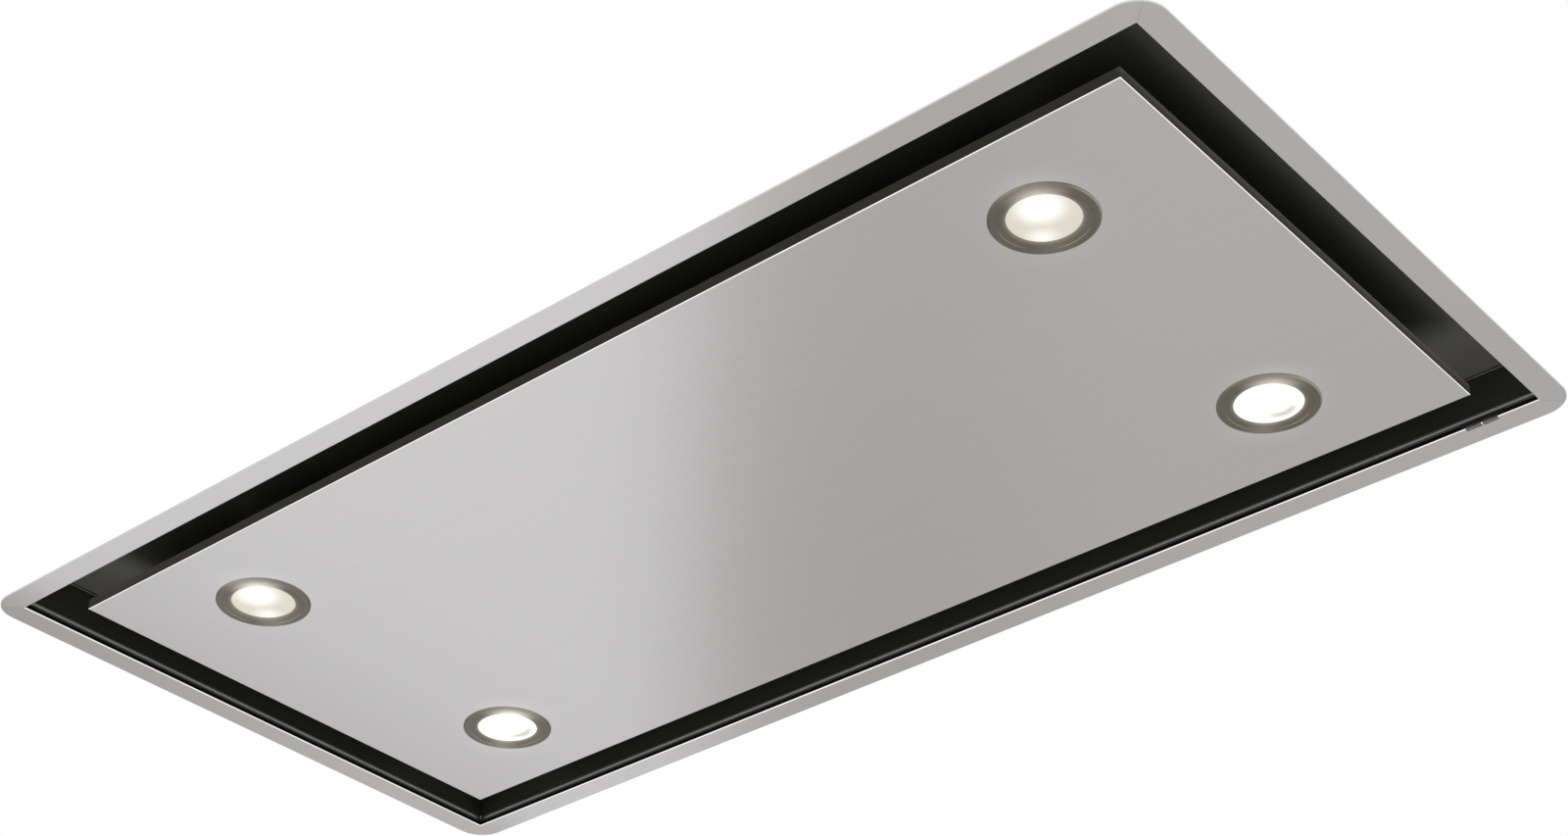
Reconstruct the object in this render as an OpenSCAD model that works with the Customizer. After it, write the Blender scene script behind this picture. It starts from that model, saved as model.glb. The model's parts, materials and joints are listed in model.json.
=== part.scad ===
// Recessed ceiling range hood with perimeter suction. A flush steel panel with four lamps
// hangs inside a trim frame, and the air goes up through the gap all round the panel,
// through two grease filters and a double-inlet blower, and leaves by a round spigot.
// Millimetres, +Z up. The origin is the centre of the trim frame, on its underside.

/* [Trim frame] */
// Length of the trim frame
trim_l = 1000; // [960:10:1100]
// Width of the trim frame
trim_w = 500; // [480:10:560]
// Distance from the trim's outer edge to the opening
flange_w = 20; // [18:1:26]
// Thickness of the trim sheet
trim_sheet = 0.7; // [0.5:0.1:1]
// Width of the hem folded back on the flange's upper side
hem_w = 10; // [5:1:10]
// How far the flange's inner edge stays back from the opening
edge_in = 1.6; // [1:0.1:1.8]
// Plan radius of the outer corners
corner_r = 21; // [12:1:28]
// Height of the rolled inner edge
lip_h = 1; // [1:0.1:2]
// Outer radius of the rolled inner edge
lip_bend_r = 1; // [0.8:0.1:1]
// Width of the hairline seam at a mitre
seam_w = 0.1; // [0.05:0.01:0.2]
// Width of the sealing strip between the trim and the collar
seal_w = 5.6; // [4:0.1:5.8]
// Height of the sealing strip
seal_h = 4.6; // [3:0.1:5]

/* [Recess] */
// Height of the black recess ceiling
recess_z = 36; // [36:1:42]
// Thickness of the black collar and baffle sheet
collar_sheet = 1; // [0.8:0.1:1.2]
// Outer radius of the collar's rounded lower edge
bead_r = 3; // [2.5:0.1:3.5]
// Outer radius of the bend round the recess ceiling
baffle_bend_r = 1.5; // [1:0.1:2]
// Width of the collar's foot over the sealing strip
foot_w = 6; // [6:0.1:6.4]
// Height of the baffle plate's turned-up rim
rim_h = 14; // [10:1:20]

/* [Panel] */
// Width of the suction gap all round the panel
gap_w = 30; // [28:1:34]
// Height of the panel's face above the underside of the trim
panel_z = 1.2; // [1.1:0.1:2]
// Height of the panel's folded edge
panel_h = 8; // [7:1:9]
// Thickness of the panel sheet
panel_sheet = 1; // [0.8:0.1:1.2]
// Width of the edge's inward return
return_w = 16; // [15:1:18]
// Outer radius of the bends round the panel's face
arris_r = 0.8; // [0.4:0.1:1]
// Width of a stiffener on the panel's back
stiff_w = 34; // [24:1:40]
// Height of a stiffener
stiff_h = 9; // [6:1:12]
// Distance of a stiffener's ends from the panel's ends
stiff_in = 170; // [150:10:250]
// Distance between the two stiffeners
stiff_pitch = 96; // [80:1:110]
// Width of a stiffener's side flange
stiff_foot = 8; // [5:1:10]

/* [Lamps] */
// Distance of the lamps from the panel's ends
lamp_in_x = 105; // [95:1:115]
// Distance of the lamps from the panel's long edges
lamp_in_y = 75; // [70:1:80]
// Outer radius of the bezel
bezel_r = 34; // [33:0.5:36]
// Radius of the lens as seen
lens_r = 23; // [20:0.5:25]
// How far the bezel stands proud of the panel's face
bezel_proud = 1; // [0.8:0.1:1.5]
// How far the bezel dishes in towards the lens
bezel_dish = 0.8; // [0.4:0.1:1]
// Thickness of the bezel's wall
bezel_wall = 1.2; // [0.8:0.1:1.5]
// Width of the bezel's flat rim
bezel_rim = 5; // [3:0.1:6]
// Depth of the step inside the bezel's rim
bezel_step = 0.3; // [0.1:0.1:0.4]
// Height of the throat below the lens
throat_h = 0.8; // [0.5:0.1:1.2]
// Thickness of the lens at its rim
lens_t = 2.2; // [1.5:0.1:3]
// How far the lens bulges
lens_bulge = 0.5; // [0.2:0.1:0.7]
// How far the lens reaches over its seat
lens_bite = 1.2; // [0.8:0.1:2]
// Height of the lamp's spring clips above the panel
clip_h = 5; // [3:1:8]
// Radius of the lamp's heat sink
sink_r = 28; // [26:1:29]
// Height of the heat sink
sink_h = 17; // [12:1:18]
// Thickness of one cooling fin
fin_t = 1.2; // [0.8:0.1:1.6]
// Number of cooling fins
fin_count = 16; // [12:1:20]
// Width of a spring clip
clip_w = 12; // [8:1:16]
// Thickness of a spring clip
clip_t = 0.8; // [0.6:0.1:1]
// How far a spring clip reaches past the bezel
clip_reach = 3; // [2:0.5:5]

/* [Receiver] */
// Distance of the receiver from the frame's right end, along the opening
receiver_in = 39.4; // [34:0.1:60]
// Length of one receiver window
window_l = 10.6; // [8:0.1:12]
// Width of one receiver window
window_w = 4.2; // [3:0.1:4.2]
// Width of the steel bridge between the two windows
window_bridge = 1.6; // [1:0.1:4]
// Radius of the outer corners of the window cut-outs
window_r = 1.2; // [0.8:0.1:1.5]
// How far the windows lie above the underside of the flange
window_inset = 0.3; // [0.2:0.1:0.5]
// Height of a receiver window
window_h = 1.6; // [1.2:0.1:2]

/* [Hinges and catches] */
// Distance of each hinge and catch from the panel's ends
hinge_end = 160; // [150:5:200]
// Distance of the hinge pin from the panel's rear edge
hinge_in = 14; // [13:0.5:15]
// Height of the hinge pin above the panel's return
pin_rise = 5.5; // [5.5:0.1:6]
// Radius of the hinge pin
pin_r = 2; // [1.5:0.1:2.2]
// Outer radius of the hinge knuckle
knuckle_r = 3.8; // [3.6:0.1:3.9]
// Length of the hinge knuckle
knuckle_l = 36; // [24:1:50]
// Thickness of the hinge sheets
hinge_sheet = 1.5; // [1:0.1:1.5]
// Distance of the catches from the panel's front edge
catch_in = 36; // [34:1:40]
// Length of a catch magnet's case
catch_l = 40; // [30:1:50]
// Width of a catch magnet's case
catch_w = 14; // [12:1:18]
// Gap between a closed catch and its strike
catch_gap = 0.3; // [0.2:0.1:0.5]

/* [Filters] */
// Distance of the filter cassettes from the opening's ends
filter_end = 147; // [147:1:165]
// Distance of a filter cassette from the opening's long edges
filter_in = 95; // [95:1:110]
// Height of a filter cassette
filter_h = 10; // [9:1:11]
// Distance between the filter cassettes
filter_between = 14; // [14:1:24]
// How far a cassette stands below the recess ceiling
filter_drop = 2; // [2:0.5:3]
// Width of a cassette's rail
rail_w = 20; // [19:1:24]
// Thickness of a cassette's sheet
filter_sheet = 1; // [0.8:0.1:1]
// Gap between a cassette and its window
filter_gap = 1; // [0.5:0.1:1.5]
// Number of mesh openings along a cassette
mesh_nx = 14; // [8:1:15]
// Number of mesh openings across a cassette
mesh_ny = 9; // [6:1:9]
// Width of the strands between the mesh openings
strand_w = 3; // [2:0.1:4]
// Width of a fixed lug on the cassette's rear edge
lug_w = 30; // [20:1:40]
// How far the lugs and the latch bolt reach over the baffle plate
latch_reach = 4.5; // [3:0.1:4.6]
// Travel of a latch
latch_travel = 5; // [5:0.1:5.6]
// Width of a latch slider
slider_w = 44; // [34:1:60]
// Depth of a latch slider
slider_d = 10; // [9:0.5:10.5]
// Width of a latch bolt
bolt_w = 30; // [20:1:32]
// Thickness of a latch bolt
bolt_t = 3; // [2:0.1:3.5]
// Width of a latch's finger grip
grip_w = 20; // [14:1:28]
// Depth of a latch's finger grip
grip_d = 5; // [4:0.5:5]
// Height of a latch's finger grip below the cassette
grip_h = 6; // [4:0.5:7]

/* [Housing] */
// Height of the housing's top
housing_h = 255; // [255:1:280]
// Thickness of the housing's sheet
housing_sheet = 1; // [0.8:0.1:1.2]
// Width of the returns at the housing's corners
tab_w = 15; // [10:1:20]
// Height of the turned-down edge of the housing's top
skirt_h = 14; // [10:1:20]
// Width of a stiffening bead on the walls
bead_w = 9; // [6:1:12]
// Height of a stiffening bead
bead_h = 1.5; // [1:0.1:2]
// Distance of a stiffening bead's ends from the corners
bead_in = 60; // [40:5:90]
// Distance of the hangers from the opening's ends
hanger_in_x = 50; // [45:1:70]
// Distance of the hangers from the opening's long edges
hanger_in_y = 50; // [40:1:70]
// Radius of a hanger's rod hole
rod_r = 4.5; // [4:0.5:5.5]
// Length of a hanger along the housing
hanger_l = 86; // [70:1:90]
// Width of a hanger
hanger_w = 36; // [30:1:40]
// Height of a hanger
hanger_h = 26; // [20:1:30]
// Thickness of a hanger's strip
hanger_sheet = 2; // [1.5:0.1:2.5]

/* [Blower] */
// Gap between the scroll and the filters
blower_gap = 4.4; // [4:0.1:8]
// Height of the throat's end above the wheel
throat_rise = 28; // [26:1:30]
// Depth of the blades
blade_depth = 13; // [12:0.5:16]
// Width of the wheel
wheel_w = 92; // [80:1:92]
// Number of blades in each row
blade_count = 36; // [24:1:40]
// Thickness of a blade
blade_t = 1; // [0.8:0.1:1.4]
// Angle a blade sweeps forward
blade_sweep = 9; // [5:1:12]
// Thickness of the wheel's centre disc and end rings
disc_t = 2; // [1.5:0.1:3]
// Gap between the wheel and the tongue of the scroll
tongue_gap = 7; // [6:0.5:8]
// How much the scroll widens from its tongue to its throat
scroll_growth = 28; // [26:1:28]
// Thickness of the scroll's wall
scroll_wall = 2; // [1.5:0.1:2.2]
// Inner width of the scroll
scroll_w = 100; // [98:1:100]
// Flare of the inlet bell mouths
bell_r = 7; // [5:0.5:8]
// Thickness of the scroll's seam rim and outlet rim
rim_t = 3; // [2:0.5:4]
// How far the seam rim stands out from the scroll
seam_rim = 6; // [4:0.5:8]
// How far the outlet rim stands out from the throat
outlet_rim = 10; // [8:1:12]
// Gap between the motor and the blades
motor_gap = 18; // [14:1:22]
// Length of the motor
motor_l = 54; // [44:1:60]
// Radius of the motor shaft
shaft_r = 4; // [3:0.5:5]
// Width of a motor bracket arm
arm_w = 14; // [10:1:20]
// Thickness of the motor bracket
arm_t = 2; // [1.5:0.1:3]
// Radius of the wheel's hub
hub_r = 13; // [10:1:16]
// Length of the wheel's hub
hub_l = 26; // [20:1:32]

/* [Outlet] */
// Outer radius of the duct spigot
spigot_r = 74.5; // [74:0.1:75]
// Wall of the duct spigot
spigot_wall = 1.5; // [1:0.1:2]
// Height of the spigot above the housing
spigot_h = 44; // [40:1:50]
// Radius of the spigot's base flange
base_r = 90; // [84:1:100]
// Height of the flap seat above the housing
seat_h = 9; // [6:1:12]
// Width of the flap seat
seat_w = 2.2; // [1.5:0.1:3]
// Thickness of a flap
flap_t = 1.5; // [1.2:0.1:2]
// Radius of the flap pin
flap_pin_r = 1.5; // [1.2:0.1:2]
// Outer radius of a flap's knuckle
flap_knuckle_r = 3; // [2.8:0.1:3.4]
// Length of a flap's knuckle
flap_knuckle_l = 20; // [14:1:24]

/* [Electrics] */
// Length of the control box
control_l = 120; // [100:5:130]
// Width of the control box
control_w = 190; // [150:5:220]
// Depth of the control box
control_d = 52; // [48:1:60]
// Wall of the control box
control_wall = 2; // [1.5:0.1:3]
// Distance of the control box's middle from the opening's end
control_in = 90; // [80:5:100]
// Length of the lamp driver
driver_l = 120; // [90:5:140]
// Width of the lamp driver
driver_w = 46; // [36:1:60]
// Height of the lamp driver
driver_h = 28; // [20:1:34]
// Radius of the run capacitor
capacitor_r = 17; // [14:1:20]
// Length of the run capacitor
capacitor_l = 62; // [50:1:74]
// Distance of the run capacitor's middle from the scroll's side
capacitor_out = 124; // [110:1:140]
// Distance of the run capacitor's middle from the opening's long edge
capacitor_in = 106; // [50:1:120]
// Length of the terminal block
terminal_l = 16; // [12:1:20]
// Number of poles in the terminal block
pole_count = 5; // [3:1:6]
// Width of one pole
pole_w = 11; // [9:1:12]
// Gap between two poles
pole_gap = 1; // [0.5:0.1:2]
// Radius of the cable gland's bore
gland_bore_r = 4.25; // [3.5:0.05:5]
// Radius of the cable gland's thread
gland_r = 9.8; // [8:0.1:11]
// Height of the cable gland above the housing
gland_h = 24; // [20:1:28]

/* [Hidden] */
$fn = 64;

// Clearances
over = 5;
sheet_gap = 0.1;
rest_gap = 0.2;
run_gap = 0.05;
seat_gap = 0.3;

// Proportions
head_share = 1.6;
flange_share = 1.4;
hanger_top_share = 0.5;
lens_curve_share = 0.98;
sink_base_share = 0.2;
sink_core_share = 0.3;
motor_cap_share = 0.245;
flap_shift_share = 0.55;
nut_share = 1.4;
dome_share = 1.2;
tip_share = 0.75;
throat_share = 1.36;

// The opening inside the trim, and the panel in it
open_l = trim_l - 2 * flange_w;
open_w = trim_w - 2 * flange_w;
panel_l = open_l - 2 * gap_w;
panel_w = open_w - 2 * gap_w;
panel_top = panel_z + panel_h;
inner_z = panel_z + panel_sheet;
stiff_l = panel_l - 2 * stiff_in;

// Heights of the sheets that stand on each other
seal_top = trim_sheet + seal_h;
foot_z = seal_top + sheet_gap;
collar_top = recess_z + rim_h;
baffle_top = recess_z + collar_sheet;

// Housing walls, counted outwards from the opening's edge
wall_u = collar_sheet + rest_gap;
wall_z = foot_z + bead_r + housing_sheet;
return_u = wall_u + housing_sheet + sheet_gap;
skirt_u = return_u + housing_sheet + sheet_gap;
top_z = housing_h + housing_sheet;

// Turn of each side round the opening: front, rear, left, right
side_turns = [180, 0, 90, -90];
function side_half(side) = (side < 2 ? open_w : open_l) / 2;
function side_length(side) = side < 2 ? open_l : open_w;

// Hinge axis of the panel
hinge_x = panel_l / 2 - hinge_end;
hinge_y = panel_w / 2 - hinge_in;
hinge_z = panel_top + pin_rise;
cheek_back = 2 * knuckle_r;
cheek_front = knuckle_r;
catch_y = -panel_w / 2 + catch_in;
strike_z = panel_top + hinge_sheet;

// Lamps, counted round from the front left one
lamp_signs = [[-1, -1], [1, -1], [1, 1], [-1, 1]];
lens_z = panel_z - bezel_proud + bezel_dish + throat_h;
lamp_hole_r = bezel_r - bezel_wall * 2;
clip_z = inner_z + clip_h;

// Receiver, on the rear side
receiver_x = open_l / 2 - receiver_in;
holder_l = 3 * window_l;

// Filters
filter_w = open_w - 2 * filter_in;
filter_l = open_l / 2 - filter_end - filter_between / 2;
filter_x = (filter_l + filter_between) / 2;
filter_z = recess_z - filter_drop;
filter_top = filter_z + filter_h;
slider_gap = 0.3;
lug_z = baffle_top + rest_gap;
bolt_z = lug_z;
slider_y = -filter_w / 2 + filter_sheet + slider_gap;
grip_y = slider_y + (slider_d - grip_d) / 2;
mesh_bite = 2;

// Blower: it fills the height over the filters, and its throat is centred on the spigot
tongue_angle = 60;
scroll_step = 5;
function growth(a) = scroll_growth * (a - tongue_angle) / (360 - tongue_angle);
scroll_low = tongue_gap + growth(270) + scroll_wall;
wheel_r = (housing_h - filter_top - blower_gap - scroll_low - throat_rise) / 2;
blower_z = filter_top + blower_gap + scroll_low + wheel_r;
blade_in_r = wheel_r - blade_depth;
motor_r = blade_in_r - motor_gap;
throat_w = wheel_r * throat_share;
scroll_max = wheel_r + tongue_gap + scroll_growth;
blower_y = throat_w / 2 - scroll_max;
scroll_top = housing_h - blower_z;
side_x = scroll_w / 2 + scroll_wall;
inlet_r = blade_in_r + tongue_gap / 2;
motor_x = hub_l / 2 + disc_t;

// Flaps in the spigot
bore_r = spigot_r - spigot_wall;
flap_r = bore_r - seat_gap * 2;
flap_z = top_z + seat_h + rest_gap;
flap_pin_z = flap_z + flap_t + flap_knuckle_r - seat_gap;
flap_split = 0.5;

// Hangers and control box
hanger_x = open_l / 2 - hanger_in_x;
hanger_y = open_w / 2 - hanger_in_y;
control_x = open_l / 2 - control_in;

// A block centred on the Z axis
module block(l, w, h) {
    translate([-l / 2, -w / 2, 0]) cube([l, w, h]);
}

// A flat plate centred on the Z axis, with round corners
module round_plate(l, w, r, h) {
    linear_extrude(h) {
        square([l - 2 * r, w], center = true);
        square([l, w - 2 * r], center = true);
        for (sx = [-1, 1], sy = [-1, 1]) {
            translate([sx * (l / 2 - r), sy * (w / 2 - r)]) circle(r);
        }
    }
}

// What a round edge of radius r takes away from the corner at the origin
module spandrel(r) {
    difference() {
        translate([-over, -over]) square(over + r);
        translate([r, r]) circle(r);
    }
}

// What bends of radius r take away from the four lower edges of a plate on the Z axis
module round_edges(l, w, r) {
    for (k = [0:3]) rotate([0, 0, 90 * k]) {
        translate([0, (k % 2 == 0 ? w : l) / 2, 0]) mirror([0, 1, 0]) {
            along_x(l + over) spandrel(r);
        }
    }
}

// A cut-out's plan: a straight edge at y = 0 and two round corners at y = w
module notch_plan(l, w, r) {
    translate([-l / 2, -over]) square([l, w - r + over]);
    translate([-l / 2 + r, -over]) square([l - 2 * r, w + over]);
    for (s = [-1, 1]) translate([s * (l / 2 - r), w - r]) circle(r);
}

// A strip bent to a hat: two side flanges and a raised middle, open along X
module hat(l, w, h, flange, t) {
    difference() {
        block(l, w, t);
        translate([0, 0, -over]) block(l + 2 * over, w - 2 * flange, over + t + over);
    }
    difference() {
        block(l, w - 2 * flange, h);
        translate([0, 0, -over]) block(l + 2 * over, w - 2 * flange - 2 * t, h - t + over);
    }
}

// Runs a profile, drawn in Y and Z, along X and centres it
module along_x(length) {
    rotate([90, 0, 90]) linear_extrude(length, center = true) children();
}

// Puts a piece that is drawn for the rear side on any side of the opening
module on_side(side) {
    rotate([0, 0, side_turns[side]]) translate([0, side_half(side), 0]) children();
}

// A profile, drawn outwards and up, run along one side and mitred at both ends
module mitred_rail(side, low_u, high_u, top) {
    half = side_length(side) / 2 - seam_w / sqrt(2);
    on_side(side) intersection() {
        along_x(2 * (half + high_u)) children();
        translate([0, 0, -over]) linear_extrude(top + 2 * over) polygon([
            [-half - low_u, low_u], [half + low_u, low_u],
            [half + high_u, high_u], [-half - high_u, high_u]
        ]);
    }
}

// Trim frame: four rails with a hem on the back and an inner edge rolled up round the opening
module trim_profile() {
    difference() {
        union() {
            translate([edge_in, 0]) square([flange_w - edge_in, trim_sheet]);
            translate([edge_in, 0]) square([trim_sheet, lip_h]);
            translate([flange_w - hem_w, 0]) square([hem_w, 2 * trim_sheet]);
        }
        translate([edge_in, 0]) spandrel(lip_bend_r);
    }
}

module trim_rail(side) {
    intersection() {
        mitred_rail(side, 0, flange_w, lip_h) trim_profile();
        translate([0, 0, -over]) round_plate(trim_l, trim_w, corner_r, lip_h + 2 * over);
    }
}

// Places at the two receiver windows, on the rear side near its right end
module at_windows() {
    for (k = [-1, 1]) {
        translate([receiver_x + k * (window_l + window_bridge) / 2, open_w / 2, 0]) children();
    }
}

module trim_front() {
    color("silver") trim_rail(0);
}

module trim_rear() {
    color("silver") difference() {
        trim_rail(1);
        at_windows() translate([0, 0, -over]) linear_extrude(seal_top + 2 * over) {
            notch_plan(window_l + 2 * rest_gap, window_w + 2 * rest_gap, window_r);
        }
    }
}

module trim_left() {
    color("silver") trim_rail(2);
}

module trim_right() {
    color("silver") trim_rail(3);
}

// Sealing strips between trim and collar, broken where the receiver's holder lies
module trim_seal() {
    color("dimgray") difference() {
        for (side = [0:3]) {
            mitred_rail(side, bead_r, bead_r + seal_w, foot_z) {
                translate([bead_r, trim_sheet]) square([seal_w, foot_z - trim_sheet]);
            }
        }
        translate([receiver_x, open_w / 2, 0]) {
            block(holder_l + 2 * rest_gap, 2 * (bead_r + seal_w + over), foot_z + over);
        }
    }
}

// Receiver: a holder behind the flange and two dark windows in the flange's cut-outs
module receiver_holder() {
    inner_u = edge_in + trim_sheet + rest_gap;
    color("black") difference() {
        translate([receiver_x - holder_l / 2, open_w / 2 + inner_u, trim_sheet]) {
            cube([holder_l, bead_r + seal_w - inner_u, seal_h]);
        }
        at_windows() linear_extrude(window_inset + window_h + sheet_gap) {
            notch_plan(window_l + 2 * sheet_gap, window_w + rest_gap + sheet_gap, window_r);
        }
    }
}

module receiver_windows() {
    color([0.16, 0.15, 0.15]) at_windows() intersection() {
        translate([0, 0, window_inset]) linear_extrude(window_h) {
            notch_plan(window_l, window_w + rest_gap, window_r);
        }
        translate([-window_l, edge_in, 0]) cube([2 * window_l, window_w + over, seal_top]);
    }
}

// Collar: the black wall of the recess, with a rounded lower edge and a foot
module collar_profile() {
    translate([bead_r, foot_z]) square([foot_w, collar_sheet]);
    translate([0, foot_z + bead_r]) square([collar_sheet, collar_top - foot_z - bead_r]);
    translate([bead_r, foot_z + bead_r]) intersection() {
        difference() {
            circle(bead_r);
            circle(bead_r - collar_sheet);
        }
        translate([-bead_r, -bead_r]) square(bead_r);
    }
}

module collar_wall(side) {
    color([0.12, 0.12, 0.11]) mitred_rail(side, 0, bead_r + foot_w, collar_top) collar_profile();
}

module collar_front() {
    collar_wall(0);
}

module collar_rear() {
    collar_wall(1);
}

module collar_left() {
    collar_wall(2);
}

module collar_right() {
    collar_wall(3);
}

// Baffle plate: the recess ceiling, a tray with a turned-up rim and two filter windows
module baffle_plate() {
    plate_l = open_l - 2 * rest_gap;
    plate_w = open_w - 2 * rest_gap;
    color([0.12, 0.12, 0.11]) difference() {
        translate([0, 0, recess_z]) block(plate_l, plate_w, rim_h);
        translate([0, 0, recess_z]) round_edges(plate_l, plate_w, baffle_bend_r);
        translate([0, 0, baffle_top]) {
            block(plate_l - 2 * collar_sheet, plate_w - 2 * collar_sheet, rim_h + over);
        }
        for (s = [-1, 1]) translate([s * filter_x, 0, recess_z - over]) {
            block(filter_l + 2 * filter_gap, filter_w + 2 * filter_gap, 2 * over + collar_sheet);
        }
    }
}

// Stiffening bead pressed outwards from a wall whose outer face is at y = 0
module wall_bead(length) {
    r = (bead_w * bead_w / 4 + bead_h * bead_h) / (2 * bead_h);
    along_x(length) intersection() {
        translate([bead_h - r, 0]) circle(r);
        translate([-housing_sheet / 2, -bead_w]) square([bead_w, 2 * bead_w]);
    }
}

// One wall of the housing; the long walls have returns round the corners
module housing_wall(side) {
    long_wall = side < 2;
    wall_l = side_length(side) + 2 * (long_wall ? return_u + housing_sheet : wall_u - sheet_gap);
    wall_h = housing_h - wall_z;
    color("lightgray") on_side(side) {
        translate([-wall_l / 2, wall_u, wall_z]) cube([wall_l, housing_sheet, wall_h]);
        if (long_wall) for (s = [-1, 1]) {
            translate([s * (wall_l - housing_sheet) / 2, wall_u + housing_sheet - tab_w, wall_z]) {
                translate([-housing_sheet / 2, 0, 0]) cube([housing_sheet, tab_w, wall_h]);
            }
        }
        for (k = [1, 2]) {
            translate([0, wall_u + housing_sheet, wall_z + k * (wall_h - skirt_h) / 3]) {
                wall_bead(side_length(side) - 2 * bead_in);
            }
        }
    }
}

module housing_front() {
    housing_wall(0);
}

module housing_rear() {
    housing_wall(1);
}

module housing_left() {
    housing_wall(2);
}

module housing_right() {
    housing_wall(3);
}

// Top of the housing: a lid with a turned-down edge outside the walls
module housing_top() {
    lid_l = open_l + 2 * (skirt_u + housing_sheet);
    lid_w = open_w + 2 * (return_u + housing_sheet);
    color("lightgray") difference() {
        translate([0, 0, housing_h - skirt_h]) block(lid_l, lid_w, skirt_h + housing_sheet);
        translate([0, 0, housing_h - skirt_h - over]) {
            block(lid_l - 2 * housing_sheet, lid_w - 2 * housing_sheet, skirt_h + over);
        }
        translate([0, 0, housing_h - over]) cylinder(r = bore_r, h = 2 * over + housing_sheet);
        translate([-control_x, 0, housing_h - over]) {
            cylinder(r = gland_r + rest_gap, h = 2 * over + housing_sheet);
        }
    }
}

// Four hat brackets on the housing's top for the threaded rods
module hanger_brackets() {
    flange = (hanger_l - hanger_l * hanger_top_share) / 2;
    color("lightgray") for (sx = [-1, 1], sy = [-1, 1]) {
        translate([sx * hanger_x, sy * hanger_y, top_z]) difference() {
            rotate([0, 0, 90]) hat(hanger_w, hanger_l, hanger_h, flange, hanger_sheet);
            cylinder(r = rod_r, h = hanger_h + over);
        }
    }
}

// Panel: a folded tray, its face down, with a hole for each lamp
module panel_tray() {
    color("silver") difference() {
        translate([0, 0, panel_z]) block(panel_l, panel_w, panel_h);
        translate([0, 0, inner_z]) {
            block(panel_l - 2 * panel_sheet, panel_w - 2 * panel_sheet, panel_h - 2 * panel_sheet);
        }
        translate([0, 0, inner_z]) {
            block(panel_l - 2 * return_w, panel_w - 2 * return_w, panel_h + over);
        }
        translate([0, 0, panel_z]) round_edges(panel_l, panel_w, arris_r);
        at_lamps() translate([0, 0, -over]) cylinder(r = lamp_hole_r, h = panel_top + over);
    }
}

module panel_stiffeners() {
    color("lightgray") for (s = [-1, 1]) {
        translate([0, s * stiff_pitch / 2, inner_z]) {
            hat(stiff_l, stiff_w, stiff_h, stiff_foot, panel_sheet);
        }
    }
}

// Places at all four lamps
module at_lamps() {
    for (k = [1:4]) at_lamp(k) children();
}

// Place at lamp k, counted round from the front left one
module at_lamp(k) {
    signs = lamp_signs[k - 1];
    translate([
        signs[0] * (panel_l / 2 - lamp_in_x), signs[1] * (panel_w / 2 - lamp_in_y), 0
    ]) children();
}

// Bezel: a flat rim, a stepped dish and a collar that goes up through the panel
module light_bezel(k) {
    low = panel_z - bezel_proud;
    color([0.37, 0.36, 0.32]) at_lamp(k) rotate_extrude() polygon([
        [lens_r, low + bezel_dish],
        [bezel_r - bezel_rim - bezel_step, low + bezel_step],
        [bezel_r - bezel_rim, low],
        [bezel_r - bezel_wall, low],
        [bezel_r, low + bezel_wall / 2],
        [bezel_r, panel_z],
        [lamp_hole_r - rest_gap, panel_z],
        [lamp_hole_r - rest_gap, clip_z],
        [lamp_hole_r - rest_gap - bezel_wall, clip_z],
        [lamp_hole_r - rest_gap - bezel_wall, lens_z + lens_t],
        [lens_r + lens_bite + sheet_gap, lens_z + lens_t],
        [lens_r + lens_bite + sheet_gap, lens_z],
        [lens_r, lens_z]
    ]);
}

// Lens: a frosted disc that bulges a little downwards
module light_lens(k) {
    rise = [for (a = [0:15:90]) [lens_r * sin(a) * lens_curve_share, lens_z - lens_bulge * cos(a)]];
    color([1, 0.97, 0.9]) at_lamp(k) rotate_extrude() polygon(concat(
        rise,
        [
            [lens_r + lens_bite, lens_z],
            [lens_r + lens_bite, lens_z + lens_t],
            [0, lens_z + lens_t]
        ]
    ));
}

// Lamp body: a finned heat sink and the two spring clips that hold it to the panel
module light_body(k) {
    core_r = sink_r * sink_core_share;
    base_z = lens_z + lens_t + rest_gap;
    color("gray") at_lamp(k) {
        translate([0, 0, base_z]) {
            cylinder(r = sink_r, h = sink_h * sink_base_share);
            cylinder(r = core_r, h = sink_h);
            intersection() {
                cylinder(r = sink_r, h = sink_h);
                for (i = [0:fin_count - 1]) rotate([0, 0, 360 * i / fin_count]) {
                    translate([0, -fin_t / 2, 0]) cube([sink_r + over, fin_t, sink_h]);
                }
            }
        }
        for (s = [0, 180]) rotate([0, 0, s]) {
            translate([core_r, -clip_w / 2, clip_z + clip_h - clip_t]) {
                cube([bezel_r + clip_reach - core_r, clip_w, clip_t]);
            }
            translate([bezel_r + clip_reach - clip_t, -clip_w / 2, inner_z]) {
                cube([clip_t, clip_w, clip_z + clip_h - inner_z]);
            }
        }
    }
}

// Places at the two hinges, seen from the panel's hinge pin
module at_hinges() {
    for (s = [-1, 1]) translate([s * hinge_x, hinge_y, hinge_z]) children();
}

// Moving hinge leaves on the panel's rear return, each with a rolled knuckle
module hinge_leaves() {
    leaf_y = panel_w / 2 - return_w - hinge_y;
    color("gray") at_hinges() difference() {
        union() {
            along_x(knuckle_l) circle(knuckle_r);
            translate([-knuckle_l / 2, leaf_y, -pin_rise]) {
                cube([knuckle_l, return_w - panel_sheet, hinge_sheet]);
            }
            translate([-knuckle_l / 2, knuckle_r - hinge_sheet, -pin_rise]) {
                cube([knuckle_l, hinge_sheet, pin_rise]);
            }
        }
        along_x(knuckle_l + over) circle(pin_r + run_gap);
    }
}

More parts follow.
